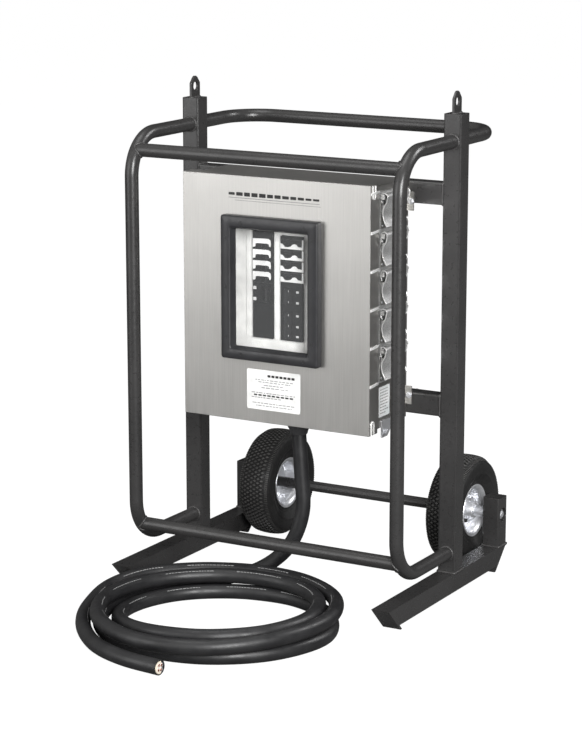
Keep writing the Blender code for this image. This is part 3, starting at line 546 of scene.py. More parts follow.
# -------------------------------------------------------------------- cord
LEAD_ROUTE = (
    (0.0060, -0.0950, 0.3664),
    (0.0130, -0.0950, 0.2723),
    (0.0160, -0.0955, 0.1780),
    (-0.0155, -0.1063, 0.0929),
    (-0.0768, -0.1387, 0.0377),
    (-0.1488, -0.1935, 0.0187),
)
TAIL_ROUTE = (
    (-0.1930, -0.6870, 0.0176),
    (-0.1199, -0.7446, 0.0176),
    (-0.0318, -0.7781, 0.0176),
    (0.0620, -0.7900, 0.0176),
)
# The coil's course: angle seen from above in degrees, radius and height in millimetres.
COIL_COURSE = (
    (136, 257, 17.6), (158, 248, 17.6), (180, 243, 17.6), (210, 245, 17.6), (240, 255, 17.6),
    (270, 265, 17.6), (300, 278, 17.6), (330, 291, 17.6), (360, 295, 17.6), (390, 264, 17.6),
    (420, 225, 17.6), (450, 193, 17.6), (480, 178, 17.6), (510, 179, 17.6), (540, 189, 17.8),
    (570, 201, 23.4), (600, 216, 35.3), (630, 233, 46.8), (660, 248, 51.8), (690, 255, 52.4),
    (720, 254, 52.4), (750, 241, 52.4), (780, 218, 52.4), (810, 198, 52.4), (840, 190, 52.4),
    (870, 197, 52.4), (900, 216, 52.4), (930, 243, 52.4), (960, 271, 49.4), (990, 292, 46.0),
    (1020, 302, 46.5), (1050, 300, 51.2), (1080, 294, 52.4), (1110, 281, 52.4), (1140, 259, 52.4),
    (1170, 242, 52.4), (1200, 237, 52.4), (1225, 244, 53.0), (1243, 257, 52.0), (1262, 272, 42.0),
    (1282, 279, 26.0), (1298, 285, 18.6),
)


def coil_points():
    points = []
    for angle, radius, height in COIL_COURSE:
        turn = math.radians(angle)
        points.append(Vector((COIL_X + 0.001 * radius * math.cos(turn),
                              depth(COIL_Y) + 0.001 * radius * math.sin(turn), 0.001 * height)))
    return points


def cord_centreline():
    lead = [Vector((x, depth(y), z)) for x, y, z in LEAD_ROUTE]
    tail = [Vector((x, depth(y), z)) for x, y, z in TAIL_ROUTE]
    return evenly(spline_through(lead + coil_points() + tail, 10), 0.008)


def make_cord(points):
    cord = tube("supply_cord", points, CORD_R, "cord", 10)
    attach(cord, "frame")
    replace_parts(cord, "cord_lead", "cord_coil", "cord_tail")


def add_prism(bm, points, push):
    """A flat outline pushed along a direction."""
    push = Vector(push)
    low = [bm.verts.new(p) for p in points]
    high = [bm.verts.new(Vector(p) + push) for p in points]
    bm.faces.new(low)
    bm.faces.new(list(reversed(high)))
    count = len(points)
    for i in range(count):
        j = (i + 1) % count
        bm.faces.new((low[i], high[i], high[j], low[j]))


def rounded(u0, u1, v0, v1, radius, steps=4):
    """Corner points of a rectangle with round corners."""
    points = []
    for cu, cv, start in ((u1 - radius, v0 + radius, -90.0), (u1 - radius, v1 - radius, 0.0),
                          (u0 + radius, v1 - radius, 90.0), (u0 + radius, v0 + radius, 180.0)):
        for i in range(steps + 1):
            turn = math.radians(start + 90.0 * i / steps)
            points.append((cu + radius * math.cos(turn), cv + radius * math.sin(turn)))
    return points


def oval(cu, cv, ru, rv, sides=24):
    return [(cu + ru * math.cos(2 * math.pi * i / sides), cv + rv * math.sin(2 * math.pi * i / sides))
            for i in range(sides)]


def front_plates(name, outlines, y, thickness, key, body):
    """Thin flat pieces on a face that looks along -Y; outlines are (x, z) points."""
    bm = bmesh.new()
    for points in outlines:
        add_prism(bm, [(u, y, v) for u, v in points], (0.0, -thickness, 0.0))
    return ride(from_bmesh(name, bm, key, smooth=False), body)


def side_plates(name, outlines, x, thickness, key, body):
    """Thin flat pieces on a face that looks along +X; outlines are (y, z) points."""
    bm = bmesh.new()
    for points in outlines:
        add_prism(bm, [(x, u, v) for u, v in points], (thickness, 0.0, 0.0))
    return ride(from_bmesh(name, bm, key, smooth=False), body)


def ride(ob, body):
    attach(ob, body)
    return ob


# -------------------------------------------------------------- frame tubes
def loop_course(side):
    x = side * UPRIGHT_X
    end = depth(0.001)
    front = depth(LOOP_FRONT)
    return bent(((x, end, LOOP_TOP), (x, front, LOOP_TOP), (x, front, LOOP_BOTTOM), (x, end, LOOP_BOTTOM)))


def make_tubes():
    for side, word in ((-1, "left"), (1, "right")):
        node = "side_loop_" + word
        loop = tube("loop_tube_" + word, loop_course(side), PIPE_R, "powder", 12)
        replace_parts(ride(loop, "frame"), node)
    for node, y, z in FRONT_RAILS:
        ends = ((-UPRIGHT_X, depth(y), z), (0.0, depth(y), z), (UPRIGHT_X, depth(y), z))
        rail = tube(node + "_tube", ends, PIPE_R - 0.0002, "powder", 12)
        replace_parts(ride(rail, "frame"), node)
    start = depth(TUBE - 0.001)
    back = depth(REAR_LOOP_Y)
    corners = [(side * UPRIGHT_X, y, REAR_LOOP_Z) for side, y in ((-1, start), (-1, back), (1, back),
                                                                  (1, start))]
    loop = tube("rear_loop_tube", bent(corners), PIPE_R, "powder", 12)
    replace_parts(ride(loop, "frame"), "rear_top_loop")


def ring_path(middle, axis_u, axis_v, points):
    """Outline points carried onto a plane through middle."""
    return [Vector(middle) + Vector(axis_u) * u + Vector(axis_v) * v for u, v in points]


def saddle_path(side, y, z, centre_z):
    """Where a front rail meets a loop's bend."""
    points = []
    middle = Vector((depth(LOOP_FRONT) + BEND_R, centre_z))
    for i in range(60):
        turn = 2.0 * math.pi * i / 60
        py = depth(y) + PIPE_R * math.cos(turn)
        pz = z + PIPE_R * math.sin(turn)
        off = abs((Vector((py, pz)) - middle).length - BEND_R)
        reach = math.sqrt(max(PIPE_R ** 2 - off ** 2, 0.0))
        points.append(Vector((side * (UPRIGHT_X - reach), py, pz)))
    return points


def make_welds():
    """One bead along every joint of the frame, with the ripples of a hand-run weld."""
    rng = random.Random(5)
    paths = []
    half = TUBE / 2.0
    square = rounded(-half, half, -half, half, 0.003)
    for side in (-1, 1):
        x = side * UPRIGHT_X
        circle = oval(0.0, 0.0, PIPE_R + 0.0005, PIPE_R + 0.0005, 40)
        for z in (LOOP_TOP, LOOP_BOTTOM):
            paths.append((ring_path((x, depth(0.0), z), (1, 0, 0), (0, 0, 1), circle), 0.0030))
        paths.append((ring_path((x, depth(TUBE), REAR_LOOP_Z), (1, 0, 0), (0, 0, 1), circle), 0.0030))
        paths.append((ring_path((x, depth(half), 0.05645), (1, 0, 0), (0, 1, 0), square), 0.0032))
        paths.append((ring_path((x, depth(0.2860 - half), 0.05645), (1, 0, 0), (0, 1, 0), square), 0.0030))
        lug = rounded(-0.0035, 0.0035, -0.0190, 0.0190, 0.0010)
        paths.append((ring_path((x, depth(half), 1.1210), (1, 0, 0), (0, 1, 0), lug), 0.0022))
        for z in (0.9395, 0.4505):
            rail = rounded(-0.0190, 0.0190, -0.0254, 0.0254, 0.004)
            inner = side * (UPRIGHT_X - half)
            paths.append((ring_path((inner, depth(0.0192), z), (0, 1, 0), (0, 0, 1), rail), 0.0026))
        for (_, y, z), bend_z in zip(FRONT_RAILS, (LOOP_TOP - BEND_R, LOOP_BOTTOM + BEND_R)):
            paths.append((saddle_path(side, y, z, bend_z), 0.0028))
    curve = bpy.data.curves.new("weld_beads", "CURVE")
    curve.dimensions = "3D"
    curve.bevel_depth = 1.0
    curve.bevel_resolution = 2
    for path, radius in paths:
        course = evenly(path + [path[0]], 0.0015)[:-1]
        spline = curve.splines.new("POLY")
        spline.points.add(len(course) - 1)
        phase = rng.uniform(0.0, 6.0)
        for i, (point, co) in enumerate(zip(spline.points, course)):
            point.co = (*co, 1.0)
            ripple = 0.16 * math.sin(2.0 * math.pi * i / 2.6 + phase) + 0.10 * math.sin(0.11 * i + phase)
            point.radius = radius * (1.0 + ripple + rng.uniform(-0.06, 0.06))
        spline.use_cyclic_u = True
        spline.use_smooth = True
    ride(finish_object("weld_beads", curve, "weld"), "frame")


# ------------------------------------------------------------------- wheels
WHEEL_R = 0.1335
WHEEL_X = 0.2590
AXLE_Y = 0.2640
KNOB_HIGH = 0.0030
KNOB_COLUMNS = 78
KNOB_ROWS = 7
KNOB_PITCH = 0.0088
KNOB_REACH = 0.0068
KNOB_SHARE = 0.40
BAR_INNER = 0.0322
BAR_OUTER = 0.0385
BAR_OUTER_R = 0.1205
BAR_SHARE = 0.26
BOLT_CIRCLE = 0.0375
VALVE_CIRCLE = 0.0450


def crown(h):
    """Tyre radius under the tread at a distance from the wheel's middle plane."""
    return WHEEL_R - KNOB_HIGH - 0.0030 * (h / 0.030) ** 2 - 0.0045 * max(0.0, (abs(h) - 0.024) / 0.010) ** 2


def tyre_profile():
    """Closed half-by-half section with sidewall ribs, as (radius, distance from middle)."""
    outer = [(crown(h), h) for h in (0.0, 0.006, 0.012, 0.018, 0.024, 0.029, 0.0335)]
    outer += [(0.1195, 0.0395), (0.1172, 0.0409), (0.1164, 0.0407), (0.1156, 0.0418), (0.1120, 0.0431),
              (0.1060, 0.0440), (0.0990, 0.0437), (0.0930, 0.0428), (0.0918, 0.0432), (0.0906, 0.0424),
              (0.0850, 0.0394), (0.0790, 0.0358), (0.0740, 0.0328), (0.0724, 0.0330), (0.0708, 0.0316),
              (0.0668, 0.0303), (0.0640, 0.0304), (0.0618, 0.0290), (0.0600, 0.0270)]
    near = list(reversed(outer[1:]))
    far = [(r, -h) for r, h in outer]
    return near + far


def make_tyre(side, word):
    """Turned carcass with rows of diamond knobs and shoulder bars."""
    centre = Vector((side * WHEEL_X, depth(AXLE_Y), WHEEL_R))
    bm = bmesh.new()
    profile = tyre_profile()
    steps = 120
    rows = []
    for i in range(steps):
        turn = 2.0 * math.pi * i / steps
        rows.append([bm.verts.new((h, r * math.cos(turn), r * math.sin(turn))) for r, h in profile])
    for i, row in enumerate(rows):
        band(bm, row, rows[(i + 1) % steps])

    def knob(corners, rise, shrink):
        """A raised block over tread corners given as (distance from middle, angle)."""
        mid_h = sum(h for h, _ in corners) / len(corners)
        mid_a = sum(a for _, a in corners) / len(corners)
        low = []
        high = []
        for h, a in corners:
            r = crown(h) - 0.0008
            low.append(bm.verts.new((h, r * math.cos(a), r * math.sin(a))))
            h2 = mid_h + (h - mid_h) * shrink
            a2 = mid_a + (a - mid_a) * shrink
            r2 = crown(h2) + rise
            high.append(bm.verts.new((h2, r2 * math.cos(a2), r2 * math.sin(a2))))
        band(bm, low, high)
        bm.faces.new(high).material_index = 1

    pitch = 2.0 * math.pi / KNOB_COLUMNS
    for row in range(KNOB_ROWS):
        h = (row - (KNOB_ROWS - 1) / 2.0) * KNOB_PITCH
        for column in range(KNOB_COLUMNS):
            a = (column + 0.5 * (row % 2)) * pitch
            knob(((h - KNOB_REACH, a), (h, a + KNOB_SHARE * pitch),
                  (h + KNOB_REACH, a), (h, a - KNOB_SHARE * pitch)), 0.0028, 0.66)
    for column in range(KNOB_COLUMNS * 2):
        a = column * pitch / 2.0
        for far in (-1, 1):
            h0 = far * BAR_INNER
            h1 = far * BAR_OUTER
            r0 = crown(h0)
            r1 = BAR_OUTER_R
            width = BAR_SHARE * pitch / 2.0
            base = [(h0, r0 - 0.0005, a - width), (h0, r0 - 0.0005, a + width),
                    (h1, r1 - 0.0005, a + width), (h1, r1 - 0.0005, a - width)]
            low = [bm.verts.new((h, r * math.cos(t), r * math.sin(t))) for h, r, t in base]
            lift = [(h + far * 0.0012, r + 0.0014, t * 0.8 + a * 0.2) for h, r, t in base]
            high = [bm.verts.new((h, r * math.cos(t), r * math.sin(t))) for h, r, t in lift]
            band(bm, low, high)
            bm.faces.new(high).material_index = 1
    bmesh.ops.translate(bm, verts=bm.verts, vec=centre)
    tyre = from_bmesh("tyre_tread_" + word, bm, "tyre", angle=28.0)
    tyre.data.materials.append(MATERIALS["tread"])
    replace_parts(ride(tyre, "wheel_" + word), "tyre_" + word)


def make_rim(side, word):
    """Two pressed halves bolted through a dished web, with a tube hub and a valve."""
    centre = Vector((side * WHEEL_X, depth(AXLE_Y), WHEEL_R))
    web = side * 0.0060
    half = 0.0330
    bowl = [(0.0622, half - 0.0034), (0.0634, half - 0.0026), (0.0640, half - 0.0012),
            (0.0634, half - 0.0002),
            (0.0620, half), (0.0600, half - 0.0006), (0.0560, half - 0.0026), (0.0530, half - 0.0060),
            (0.0500, half - 0.0110), (0.0480, half - 0.0160)]
    web_far = side * web + 0.0007
    web_near = side * web - 0.0007
    disc = ((0.0470, 0.0040), (0.0455, 0.0012), (0.0420, 0.0), (0.0330, 0.0), (0.0300, 0.0014),
            (0.0240, 0.0020))
    far = bowl + [(r, web_far + rise) for r, rise in disc]
    far += [(0.0210, web_far + 0.0040), (0.0196, web_far + 0.0090), (0.0190, half - 0.0016), (0.0180, half),
            (0.0120, half), (0.0084, half)]
    near = bowl + [(r, rise - web_near) for r, rise in disc]
    near += [(0.0160, 0.0022 - web_near), (0.0084, 0.0022 - web_near)]
    skin = [(r, side * h) for r, h in far]
    back = [(r, -side * h) for r, h in reversed(near)]
    well = [(0.0575, -side * (half - 0.0050)), (0.0555, -side * 0.0180), (0.0505, -side * 0.0150),
            (0.0505, side * 0.0150), (0.0555, side * 0.0180), (0.0575, side * (half - 0.0050))]
    rim = lathe("rim_pressing_" + word, skin + back + well, centre, "zinc", 96)
    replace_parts(ride(rim, "wheel_" + word), "rim_" + word)

    bm = bmesh.new()
    for i in range(4):
        turn = math.radians(45.0 + 90.0 * i)
        y = centre.y + BOLT_CIRCLE * math.cos(turn)
        z = centre.z + BOLT_CIRCLE * math.sin(turn)
        for x0, x1, radius, sides in ((0.0010, 0.0022, 0.0082, 24), (0.0022, 0.0064, 0.0064, 6),
                                      (0.0064, 0.0098, 0.0033, 16)):
            add_rod(bm, (centre.x + web + side * x0, y, z), (centre.x + web + side * x1, y, z), radius, sides)
    bolts = soften(from_bmesh("rim_bolts_" + word, bm, "bolt"), 0.0005)
    ride(bolts, "wheel_" + word)

    bm = bmesh.new()
    y = centre.y + VALVE_CIRCLE * math.cos(math.radians(200.0))
    z = centre.z + VALVE_CIRCLE * math.sin(math.radians(200.0))
    for x0, x1, r0, r1 in ((0.0020, 0.0060, 0.0062, 0.0050), (0.0060, 0.0190, 0.0042, 0.0036),
                           (0.0190, 0.0262, 0.0044, 0.0044)):
        add_rod(bm, (centre.x + web + side * x0, y, z), (centre.x + web + side * x1, y, z), r0, 20, r1)
    valve = soften(from_bmesh("valve_" + word, bm, "seal"), 0.0004)
    ride(valve, "wheel_" + word)

    inner_face = side * (WHEEL_X - half + 0.0002)
    sleeve = [(0.0083, side * 0.0385), (0.0120, side * 0.0385), (0.0126, side * 0.0379),
              (0.0126, 0.0), (0.0083, 0.0)]
    collar = lathe("spacer_end_" + word, sleeve, (inner_face, centre.y, centre.z), "powder", 48)
    ride(collar, "frame")


# ---------------------------------------------------------------- enclosure
DOOR_FRONT = -0.1950
DOOR_X = 0.2430
BODY_X = 0.2365
BANK_FACE = -0.1630
BEZEL = (-0.1325, 0.1205, 0.5560, 0.8880)
WINDOW = (-0.1025, 0.0885, 0.5850, 0.8560)


def grown(span, by):
    return (span[0] - by, span[1] + by, span[2] - by, span[3] + by)


def make_bezel():
    """Window surround with a bevelled rim and an opening that flares to the front."""
    base = depth(DOOR_FRONT) - 0.0003
    front = depth(DOOR_FRONT) - 0.0200
    courses = ((BEZEL, 0.0, 0.006, base), (BEZEL, 0.0, 0.006, front + 0.0040),
               (BEZEL, -0.0010, 0.006, front + 0.0016), (BEZEL, -0.0036, 0.005, front),
               (WINDOW, 0.0085, 0.007, front), (WINDOW, 0.0062, 0.006, front + 0.0010),
               (WINDOW, 0.0048, 0.005, front + 0.0032), (WINDOW, 0.0010, 0.004, front + 0.0170),
               (WINDOW, 0.0000, 0.003, front + 0.0180), (WINDOW, 0.0000, 0.003, base))
    bm = bmesh.new()
    rings = []
    for span, grow, radius, y in courses:
        x0, x1, z0, z1 = grown(span, grow)
        rings.append([bm.verts.new((u, y, v)) for u, v in rounded(x0, x1, z0, z1, radius, 5)])
    for i, ring in enumerate(rings):
        band(bm, ring, rings[(i + 1) % len(rings)])
    bezel = from_bmesh("window_bezel", bm, "bezel", angle=40.0)
    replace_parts(ride(bezel, "door"), "window_frame")

    bm = bmesh.new()
    x_left = (BEZEL[0] + WINDOW[0]) / 2.0 - 0.001
    x_right = (BEZEL[1] + WINDOW[1]) / 2.0 + 0.001
    z_low = (BEZEL[2] + WINDOW[2]) / 2.0 - 0.001
    z_high = (BEZEL[3] + WINDOW[3]) / 2.0 + 0.001
    places = [(x_left, z) for z in (0.835, 0.722, 0.608)] + [(x_right, z) for z in (0.845, 0.737, 0.612)]
    places += [(x, z_high) for x in (-0.079, 0.084)] + [(x, z_low) for x in (-0.079, 0.084)]
    for x, z in places:
        add_rod(bm, (x, front + 0.0006, z), (x, front - 0.0008, z), 0.0044, 24, 0.0036)
        add_box(bm, (x - 0.0026, front - 0.00125, z - 0.0005), (x + 0.0026, front - 0.0005, z + 0.0005))
        add_box(bm, (x - 0.0005, front - 0.00125, z - 0.0026), (x + 0.0005, front - 0.0005, z + 0.0026))
    ride(from_bmesh("bezel_screws", bm, "screw_black"), "door")


def make_door_print():
    """Plain bars in place of the printed strip, and a label with grey bars."""
    face = depth(DOOR_FRONT) - 0.0001
    bars = []
    x = -0.1210
    for width, tall in ((0.016, 0.0060), (0.017, 0.0080), (0.015, 0.0090), (0.016, 0.0090), (0.017, 0.0090),
                        (0.015, 0.0080), (0.016, 0.0080), (0.017, 0.0070), (0.015, 0.0070), (0.016, 0.0060),
                        (0.015, 0.0050), (0.016, 0.0050)):
        middle = 0.9350
        bars.append(rounded(x, x + width, middle - tall / 2, middle + tall / 2, 0.0012, 2))
        x += width + 0.0040
    front_plates("door_strip_dark", bars, face, 0.0002, "ink", "door")
    rules = [rounded(-0.1210, 0.1150, 0.9254, 0.9268, 0.0004, 1),
             rounded(-0.1050, 0.1180, 0.9200, 0.9210, 0.0003, 1)]
    front_plates("door_strip_rules", rules, face, 0.0002, "print_grey", "door")

    card = rounded(-0.0745, 0.0660, 0.4405, 0.5340, 0.004)
    front_plates("door_label", [card], face, 0.0004, "label", "door")
    rng = random.Random(3)
    dark = []
    grey = []
    for i in range(7):
        x = -0.0200 + i * 0.0105
        dark.append(rounded(x, x + 0.0082, 0.5180, 0.5236, 0.0006, 1))
    for z, x0, x1, fill in ((0.5105, -0.052, 0.048, 0.8), (0.5055, -0.044, 0.040, 0.8),
                            (0.4985, -0.030, 0.026, 0.9),
                            (0.4925, -0.036, 0.034, 0.9), (0.4800, -0.062, 0.052, 0.85), (0.4690, -0.062,
                                                                                          0.020, 0.8),
                            (0.4560, -0.060, 0.054, 0.9), (0.4500, -0.050, 0.044, 0.9)):
        x = x0
        while x < x1 - 0.003:
            width = rng.uniform(0.004, 0.013) * fill
            end = min(x + width, x1)
            grey.append(rounded(x, end, z - 0.0011, z + 0.0011, 0.0004, 1))
            x = end + rng.uniform(0.0014, 0.0030)
    heavy = []
    for i in range(9):
        x = -0.0560 + i * 0.0118
        heavy.append(rounded(x, x + 0.0090, 0.4728, 0.4764, 0.0005, 1))
    front_plates("door_label_bars", dark + heavy, face - 0.0004, 0.0001, "ink", "door")
    front_plates("door_label_lines", grey, face - 0.0004, 0.0001, "print_dark", "door")


def make_door_clamps():
    """Straps across the right flange at each outlet's top, and the folded corner hems."""
    bm = bmesh.new()
    x = DOOR_X + 0.0001
    y0 = depth(-0.1945)
    y1 = depth(-0.1545)
    for i in range(OUTLETS + 1):
        z = LID_TOP - i * LID_PITCH
        ring = [(y0, z + 0.0032), (y0, z - 0.0026), (y0 + 0.016, z - 0.0020), (y1, z + 0.0000),
                (y1, z + 0.0052), (y0 + 0.016, z + 0.0036)]
        add_prism(bm, [(x, u, v) for u, v in ring], (0.0022, 0.0, 0.0))
    # the straps take the paler copy of the metal: a painted highlight
    straps = soften(from_bmesh("flange_straps", bm, "strap", smooth=False), 0.0005)
    ride(straps, "door")
    for word, z_edge, way in (("upper", 0.9755, -1.0), ("lower", 0.4115, 1.0)):
        points = []
        for i in range(13):
            turn = math.pi * i / 12
            points.append(Vector((x + 0.0008, depth(-0.1800) + 0.0062 * math.cos(turn) * -1.0,
                                  z_edge + way * (0.0230 + 0.0070 * math.sin(turn)))))
        course = [Vector((x + 0.0008, points[0].y, z_edge))] + points + [Vector((x + 0.0008, points[-1].y,
                                                                                 z_edge))]
        # the hems take the paler copy of the metal: a painted highlight
        hem = tube("corner_hem_" + word, course, 0.0017, "strap", 4)
        ride(hem, "door")


def make_side_label():
    x = BODY_X + 0.0001
    span = (depth(-0.1370), depth(-0.0850), 0.4410, 0.5110)
    side_plates("side_label", [rounded(*span, 0.002)], x, 0.0003, "label_cool", "frame")
    rng = random.Random(8)
    bars = []
    for i in range(9):
        z = 0.5040 - i * 0.0068
        y = span[0] + 0.006
        end = span[1] - rng.uniform(0.006, 0.022)
        while y < end:
            width = rng.uniform(0.003, 0.008)
            bars.append(rounded(y, min(y + width, end + 0.001), z - 0.0012, z + 0.0012, 0.0004, 1))
            y += width + 0.0018
    side_plates("side_label_lines", bars, x + 0.0003, 0.0001, "print_dark", "frame")


def make_breaker_faces():
    """Pale label fields, seams and rating windows on the two breaker columns."""
    face = depth(BANK_FACE) - 0.0001
    pale = []
    seams = []
    dots = []
    for z in (0.8136, 0.7882, 0.7628, 0.7374):
        top = z + 0.0185
        pale.append([(-0.0768, top - 0.0010), (-0.0768, z - 0.0030), (-0.0700, z - 0.0012),
                     (-0.0690, z + 0.0062),
                     (-0.0640, z + 0.0070), (-0.0400, z + 0.0074), (-0.0350, z + 0.0068), (-0.0330,
                                                                                           z + 0.0010),
                     (-0.0300, z + 0.0000), (-0.0290, z + 0.0060), (-0.0300, top - 0.0030), (-0.0360, top)])
        seams.append(rounded(-0.0770, -0.0240, z - 0.0076, z - 0.0068, 0.0003, 1))
    for z in (0.8298, 0.8044, 0.7790, 0.7536):
        low = z - 0.0165
        pale.append([(-0.0038, low), (0.0560, low), (0.0560, low + 0.0066), (0.0505, low + 0.0060),
                     (0.0420, low + 0.0066), (0.0375, low + 0.0112), (0.0330, low + 0.0124), (0.0280,
                                                                                              low + 0.0112),
                     (0.0225, low + 0.0058), (0.0140, low + 0.0040), (0.0075, low + 0.0044), (0.0020,
                                                                                              low + 0.0108),
                     (-0.0038, low + 0.0118)])
        pale.append(rounded(0.0520, 0.0560, low + 0.0064, low + 0.0232, 0.0008, 1))
        seams.append(rounded(-0.0040, 0.0520, low + 0.0210, low + 0.0218, 0.0003, 1))
    for x, z in ((-0.0720, 0.7170), (-0.0720, 0.6915)):
        dots.append(rounded(x - 0.0040, x + 0.0044, z - 0.0040, z + 0.0034, 0.0012, 2))
    for z in (0.7160, 0.6910, 0.6610, 0.6360, 0.6130):
        dots.append(oval(0.0146, z, 0.0030, 0.0034, 16))
        dots.append(rounded(0.0370, 0.0440, z - 0.0030, z + 0.0020, 0.0010, 2))
    front_plates("breaker_labels", pale, face, 0.0006, "label", "frame")
    front_plates("breaker_seams", seams, face, 0.0003, "ink", "frame")
    front_plates("breaker_windows", dots, face, 0.0005, "print", "frame")
    strips = [rounded(-0.0236, -0.0046, 0.6000, 0.8540, 0.0010, 2),
              rounded(-0.0970, -0.0800, 0.6000, 0.8540, 0.0010, 2)]
    front_plates("cover_strips", strips, depth(-0.1551), 0.0020, "enamel", "frame")


LID_AXIS_X = BODY_X + 0.0140
LID_Y0 = depth(-0.1460)
LID_Y1 = depth(-0.0360)
PANEL_X = BODY_X + 0.0033
OUTLET_DROP = 0.0500
PIN_CIRCLE = 0.0110
SPRING_R = 0.0042
SPRING_LEAD = 0.0016
HALF_SHEET = 0.0007
CURL_R = 0.0080


def lid_course():
    """The lid's folded profile from its curl down to its lip, about the hinge's axis."""
    course = [Vector((-0.0042, 0.0, -0.0142)), Vector((-0.0076, 0.0, -0.0060))]
    for step in range(15):
        turn = math.radians(196.0 - 232.0 * step / 14)
        course.append(Vector((CURL_R * math.cos(turn), 0.0, CURL_R * math.sin(turn))))
    for x, z in ((0.0054, -0.0120), (0.0018, -0.0186), (-0.0016, -0.0255), (-0.0036, -0.0340),
                 (-0.0032, -0.0430), (-0.0008, -0.0520), (0.0030, -0.0600), (0.0066, -0.0665)):
        course.append(Vector((x, 0.0, z)))
    return evenly(spline_through(course, 4), 0.0022)


def make_spring(number, z):
    coil = []
    for k in range(97):
        turn = 2.0 * math.pi * k / 12
        coil.append(Vector((LID_AXIS_X + SPRING_R * math.cos(turn),
                            LID_Y0 + 0.020 + SPRING_LEAD * k / 12 * 1.9,
                            z + SPRING_R * math.sin(turn))))
    ride(tube("lid_spring_%d" % number, coil, 0.0006, "zinc", 3), "frame")


def make_lid(number, z):
    """A folded sheet with a cheek at each end and rolled edges in a paler copy of its metal, a painted
    highlight.
    """
    fine = lid_course()
    lid = bmesh.new()
    rows = []
    for k, point in enumerate(fine):
        ahead = fine[min(k + 1, len(fine) - 1)] - fine[max(k - 1, 0)]
        normal = Vector((-ahead.z, 0.0, ahead.x)).normalized() * HALF_SHEET
        row = []
        for y, n in ((LID_Y0 + 0.0003, normal), (LID_Y1 - 0.0003, normal),
                     (LID_Y1 - 0.0003, -normal), (LID_Y0 + 0.0003, -normal)):
            row.append(lid.verts.new((LID_AXIS_X + point.x + n.x, y, z + point.z + n.z)))
        rows.append(row)
    for row, after in zip(rows, rows[1:]):
        band(lid, row, after)
    lid.faces.new(rows[0])
    lid.faces.new(list(reversed(rows[-1])))
    cheek = ((0.0030, -0.0165), (-0.0010, -0.0235), (-0.0030, -0.0340), (-0.0026, -0.0440),
             (-0.0044, -0.0440), (-0.0068, -0.0340), (-0.0062, -0.0235), (-0.0050, -0.0165))
    for y in (LID_Y0 + 0.0003, LID_Y1 - 0.0018):
        add_prism(lid, [(LID_AXIS_X + u, y, z + v) for u, v in cheek], (0.0, 0.0015, 0.0))
    name = "outlet_lid_%d" % number
    flap = from_bmesh("flap_%d" % number, lid, "lid", angle=50.0)
    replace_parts(ride(flap, name), name)
    for y, word in ((LID_Y0 + 0.0015, "front"), (LID_Y1 - 0.0015, "rear")):
        edge = [Vector((LID_AXIS_X + point.x, y, z + point.z)) for point in fine]
        # the rolled edges take the paler copy of the lid metal: a painted highlight
        ride(tube("flap_%s_edge_%d" % (word, number), edge, 0.0015, "strap", 3), name)


def make_outlets():
    """Five flip lids over round outlets, with plates, screws and contacts."""
    middle_y = (LID_Y0 + LID_Y1) / 2.0
    plate = bmesh.new()
    dark = bmesh.new()
    bright = bmesh.new()
    for i in range(OUTLETS):
        top = LID_TOP - i * LID_PITCH
        centre = top - OUTLET_DROP
        lip = rounded(LID_Y0 + 0.004, LID_Y1 - 0.004, top - 0.0830, top - 0.0195, 0.004)
        add_prism(plate, [(PANEL_X + 0.0001, u, v) for u, v in lip], (0.0012, 0.0, 0.0))
        for radius, x0, x1, bm in ((0.0232, 0.0013, 0.0030, plate), (0.0205, 0.0030, 0.0042, dark)):
            add_rod(bm, (PANEL_X + x0, middle_y, centre), (PANEL_X + x1, middle_y, centre), radius, 40)
        for turn in (90.0, 210.0, 330.0):
            cy = middle_y + PIN_CIRCLE * math.cos(math.radians(turn))
            cz = centre + PIN_CIRCLE * math.sin(math.radians(turn))
            add_box(bright, (PANEL_X + 0.0040, cy - 0.0011, cz - 0.0036),
                    (PANEL_X + 0.0044, cy + 0.0011, cz + 0.0036))
        for sy in (LID_Y0 + 0.012, LID_Y1 - 0.012):
            for sz in (top - 0.0260, top - 0.0765):
                add_rod(bright, (PANEL_X + 0.0010, sy, sz), (PANEL_X + 0.0030, sy, sz), 0.0034, 20, 0.0026)
        make_spring(i + 1, top - 0.0110)
        make_lid(i + 1, top - 0.0110)
    ride(soften(from_bmesh("outlet_plates", plate, "steel"), 0.0004), "frame")
    ride(from_bmesh("outlet_faces", dark, "ink"), "frame")
    ride(from_bmesh("outlet_contacts", bright, "zinc"), "frame")


def make_fasteners():
    """Bolts that hold the box's ears to the rails, hinge screws and axle washers."""
    bm = bmesh.new()
    for side in (-1, 1):
        for z in (0.4685, 0.9185):
            x = side * (BODY_X + 0.0080)
            y = depth(-0.0032)
            add_rod(bm, (x, y, z), (x, y - 0.0012, z), 0.0072, 28)
            add_rod(bm, (x, y - 0.0012, z), (x, y - 0.0058, z), 0.0056, 6)
            add_rod(bm, (x, depth(0.0384), z), (x, depth(0.0396), z), 0.0072, 28)
            add_rod(bm, (x, depth(0.0396), z), (x, depth(0.0450), z), 0.0056, 6)
    ride(soften(from_bmesh("mounting_bolts", bm, "bolt"), 0.0005), "frame")
    bm = bmesh.new()
    for i in range(9):
        z = 0.4450 + i * 0.0621
        add_rod(bm, (-BODY_X - 0.0017, depth(-0.1300), z), (-BODY_X - 0.0030, depth(-0.1300), z), 0.0036, 20,
                0.0022)
    ride(from_bmesh("hinge_rivets", bm, "steel"), "frame")
    bm = bmesh.new()
    for side in (-1, 1):
        x = side * 0.3520
        add_rod(bm, (x, depth(AXLE_Y), WHEEL_R), (x + side * 0.0015, depth(AXLE_Y), WHEEL_R), 0.0150, 32)
    ride(soften(from_bmesh("axle_washers", bm, "bolt"), 0.0003), "frame")


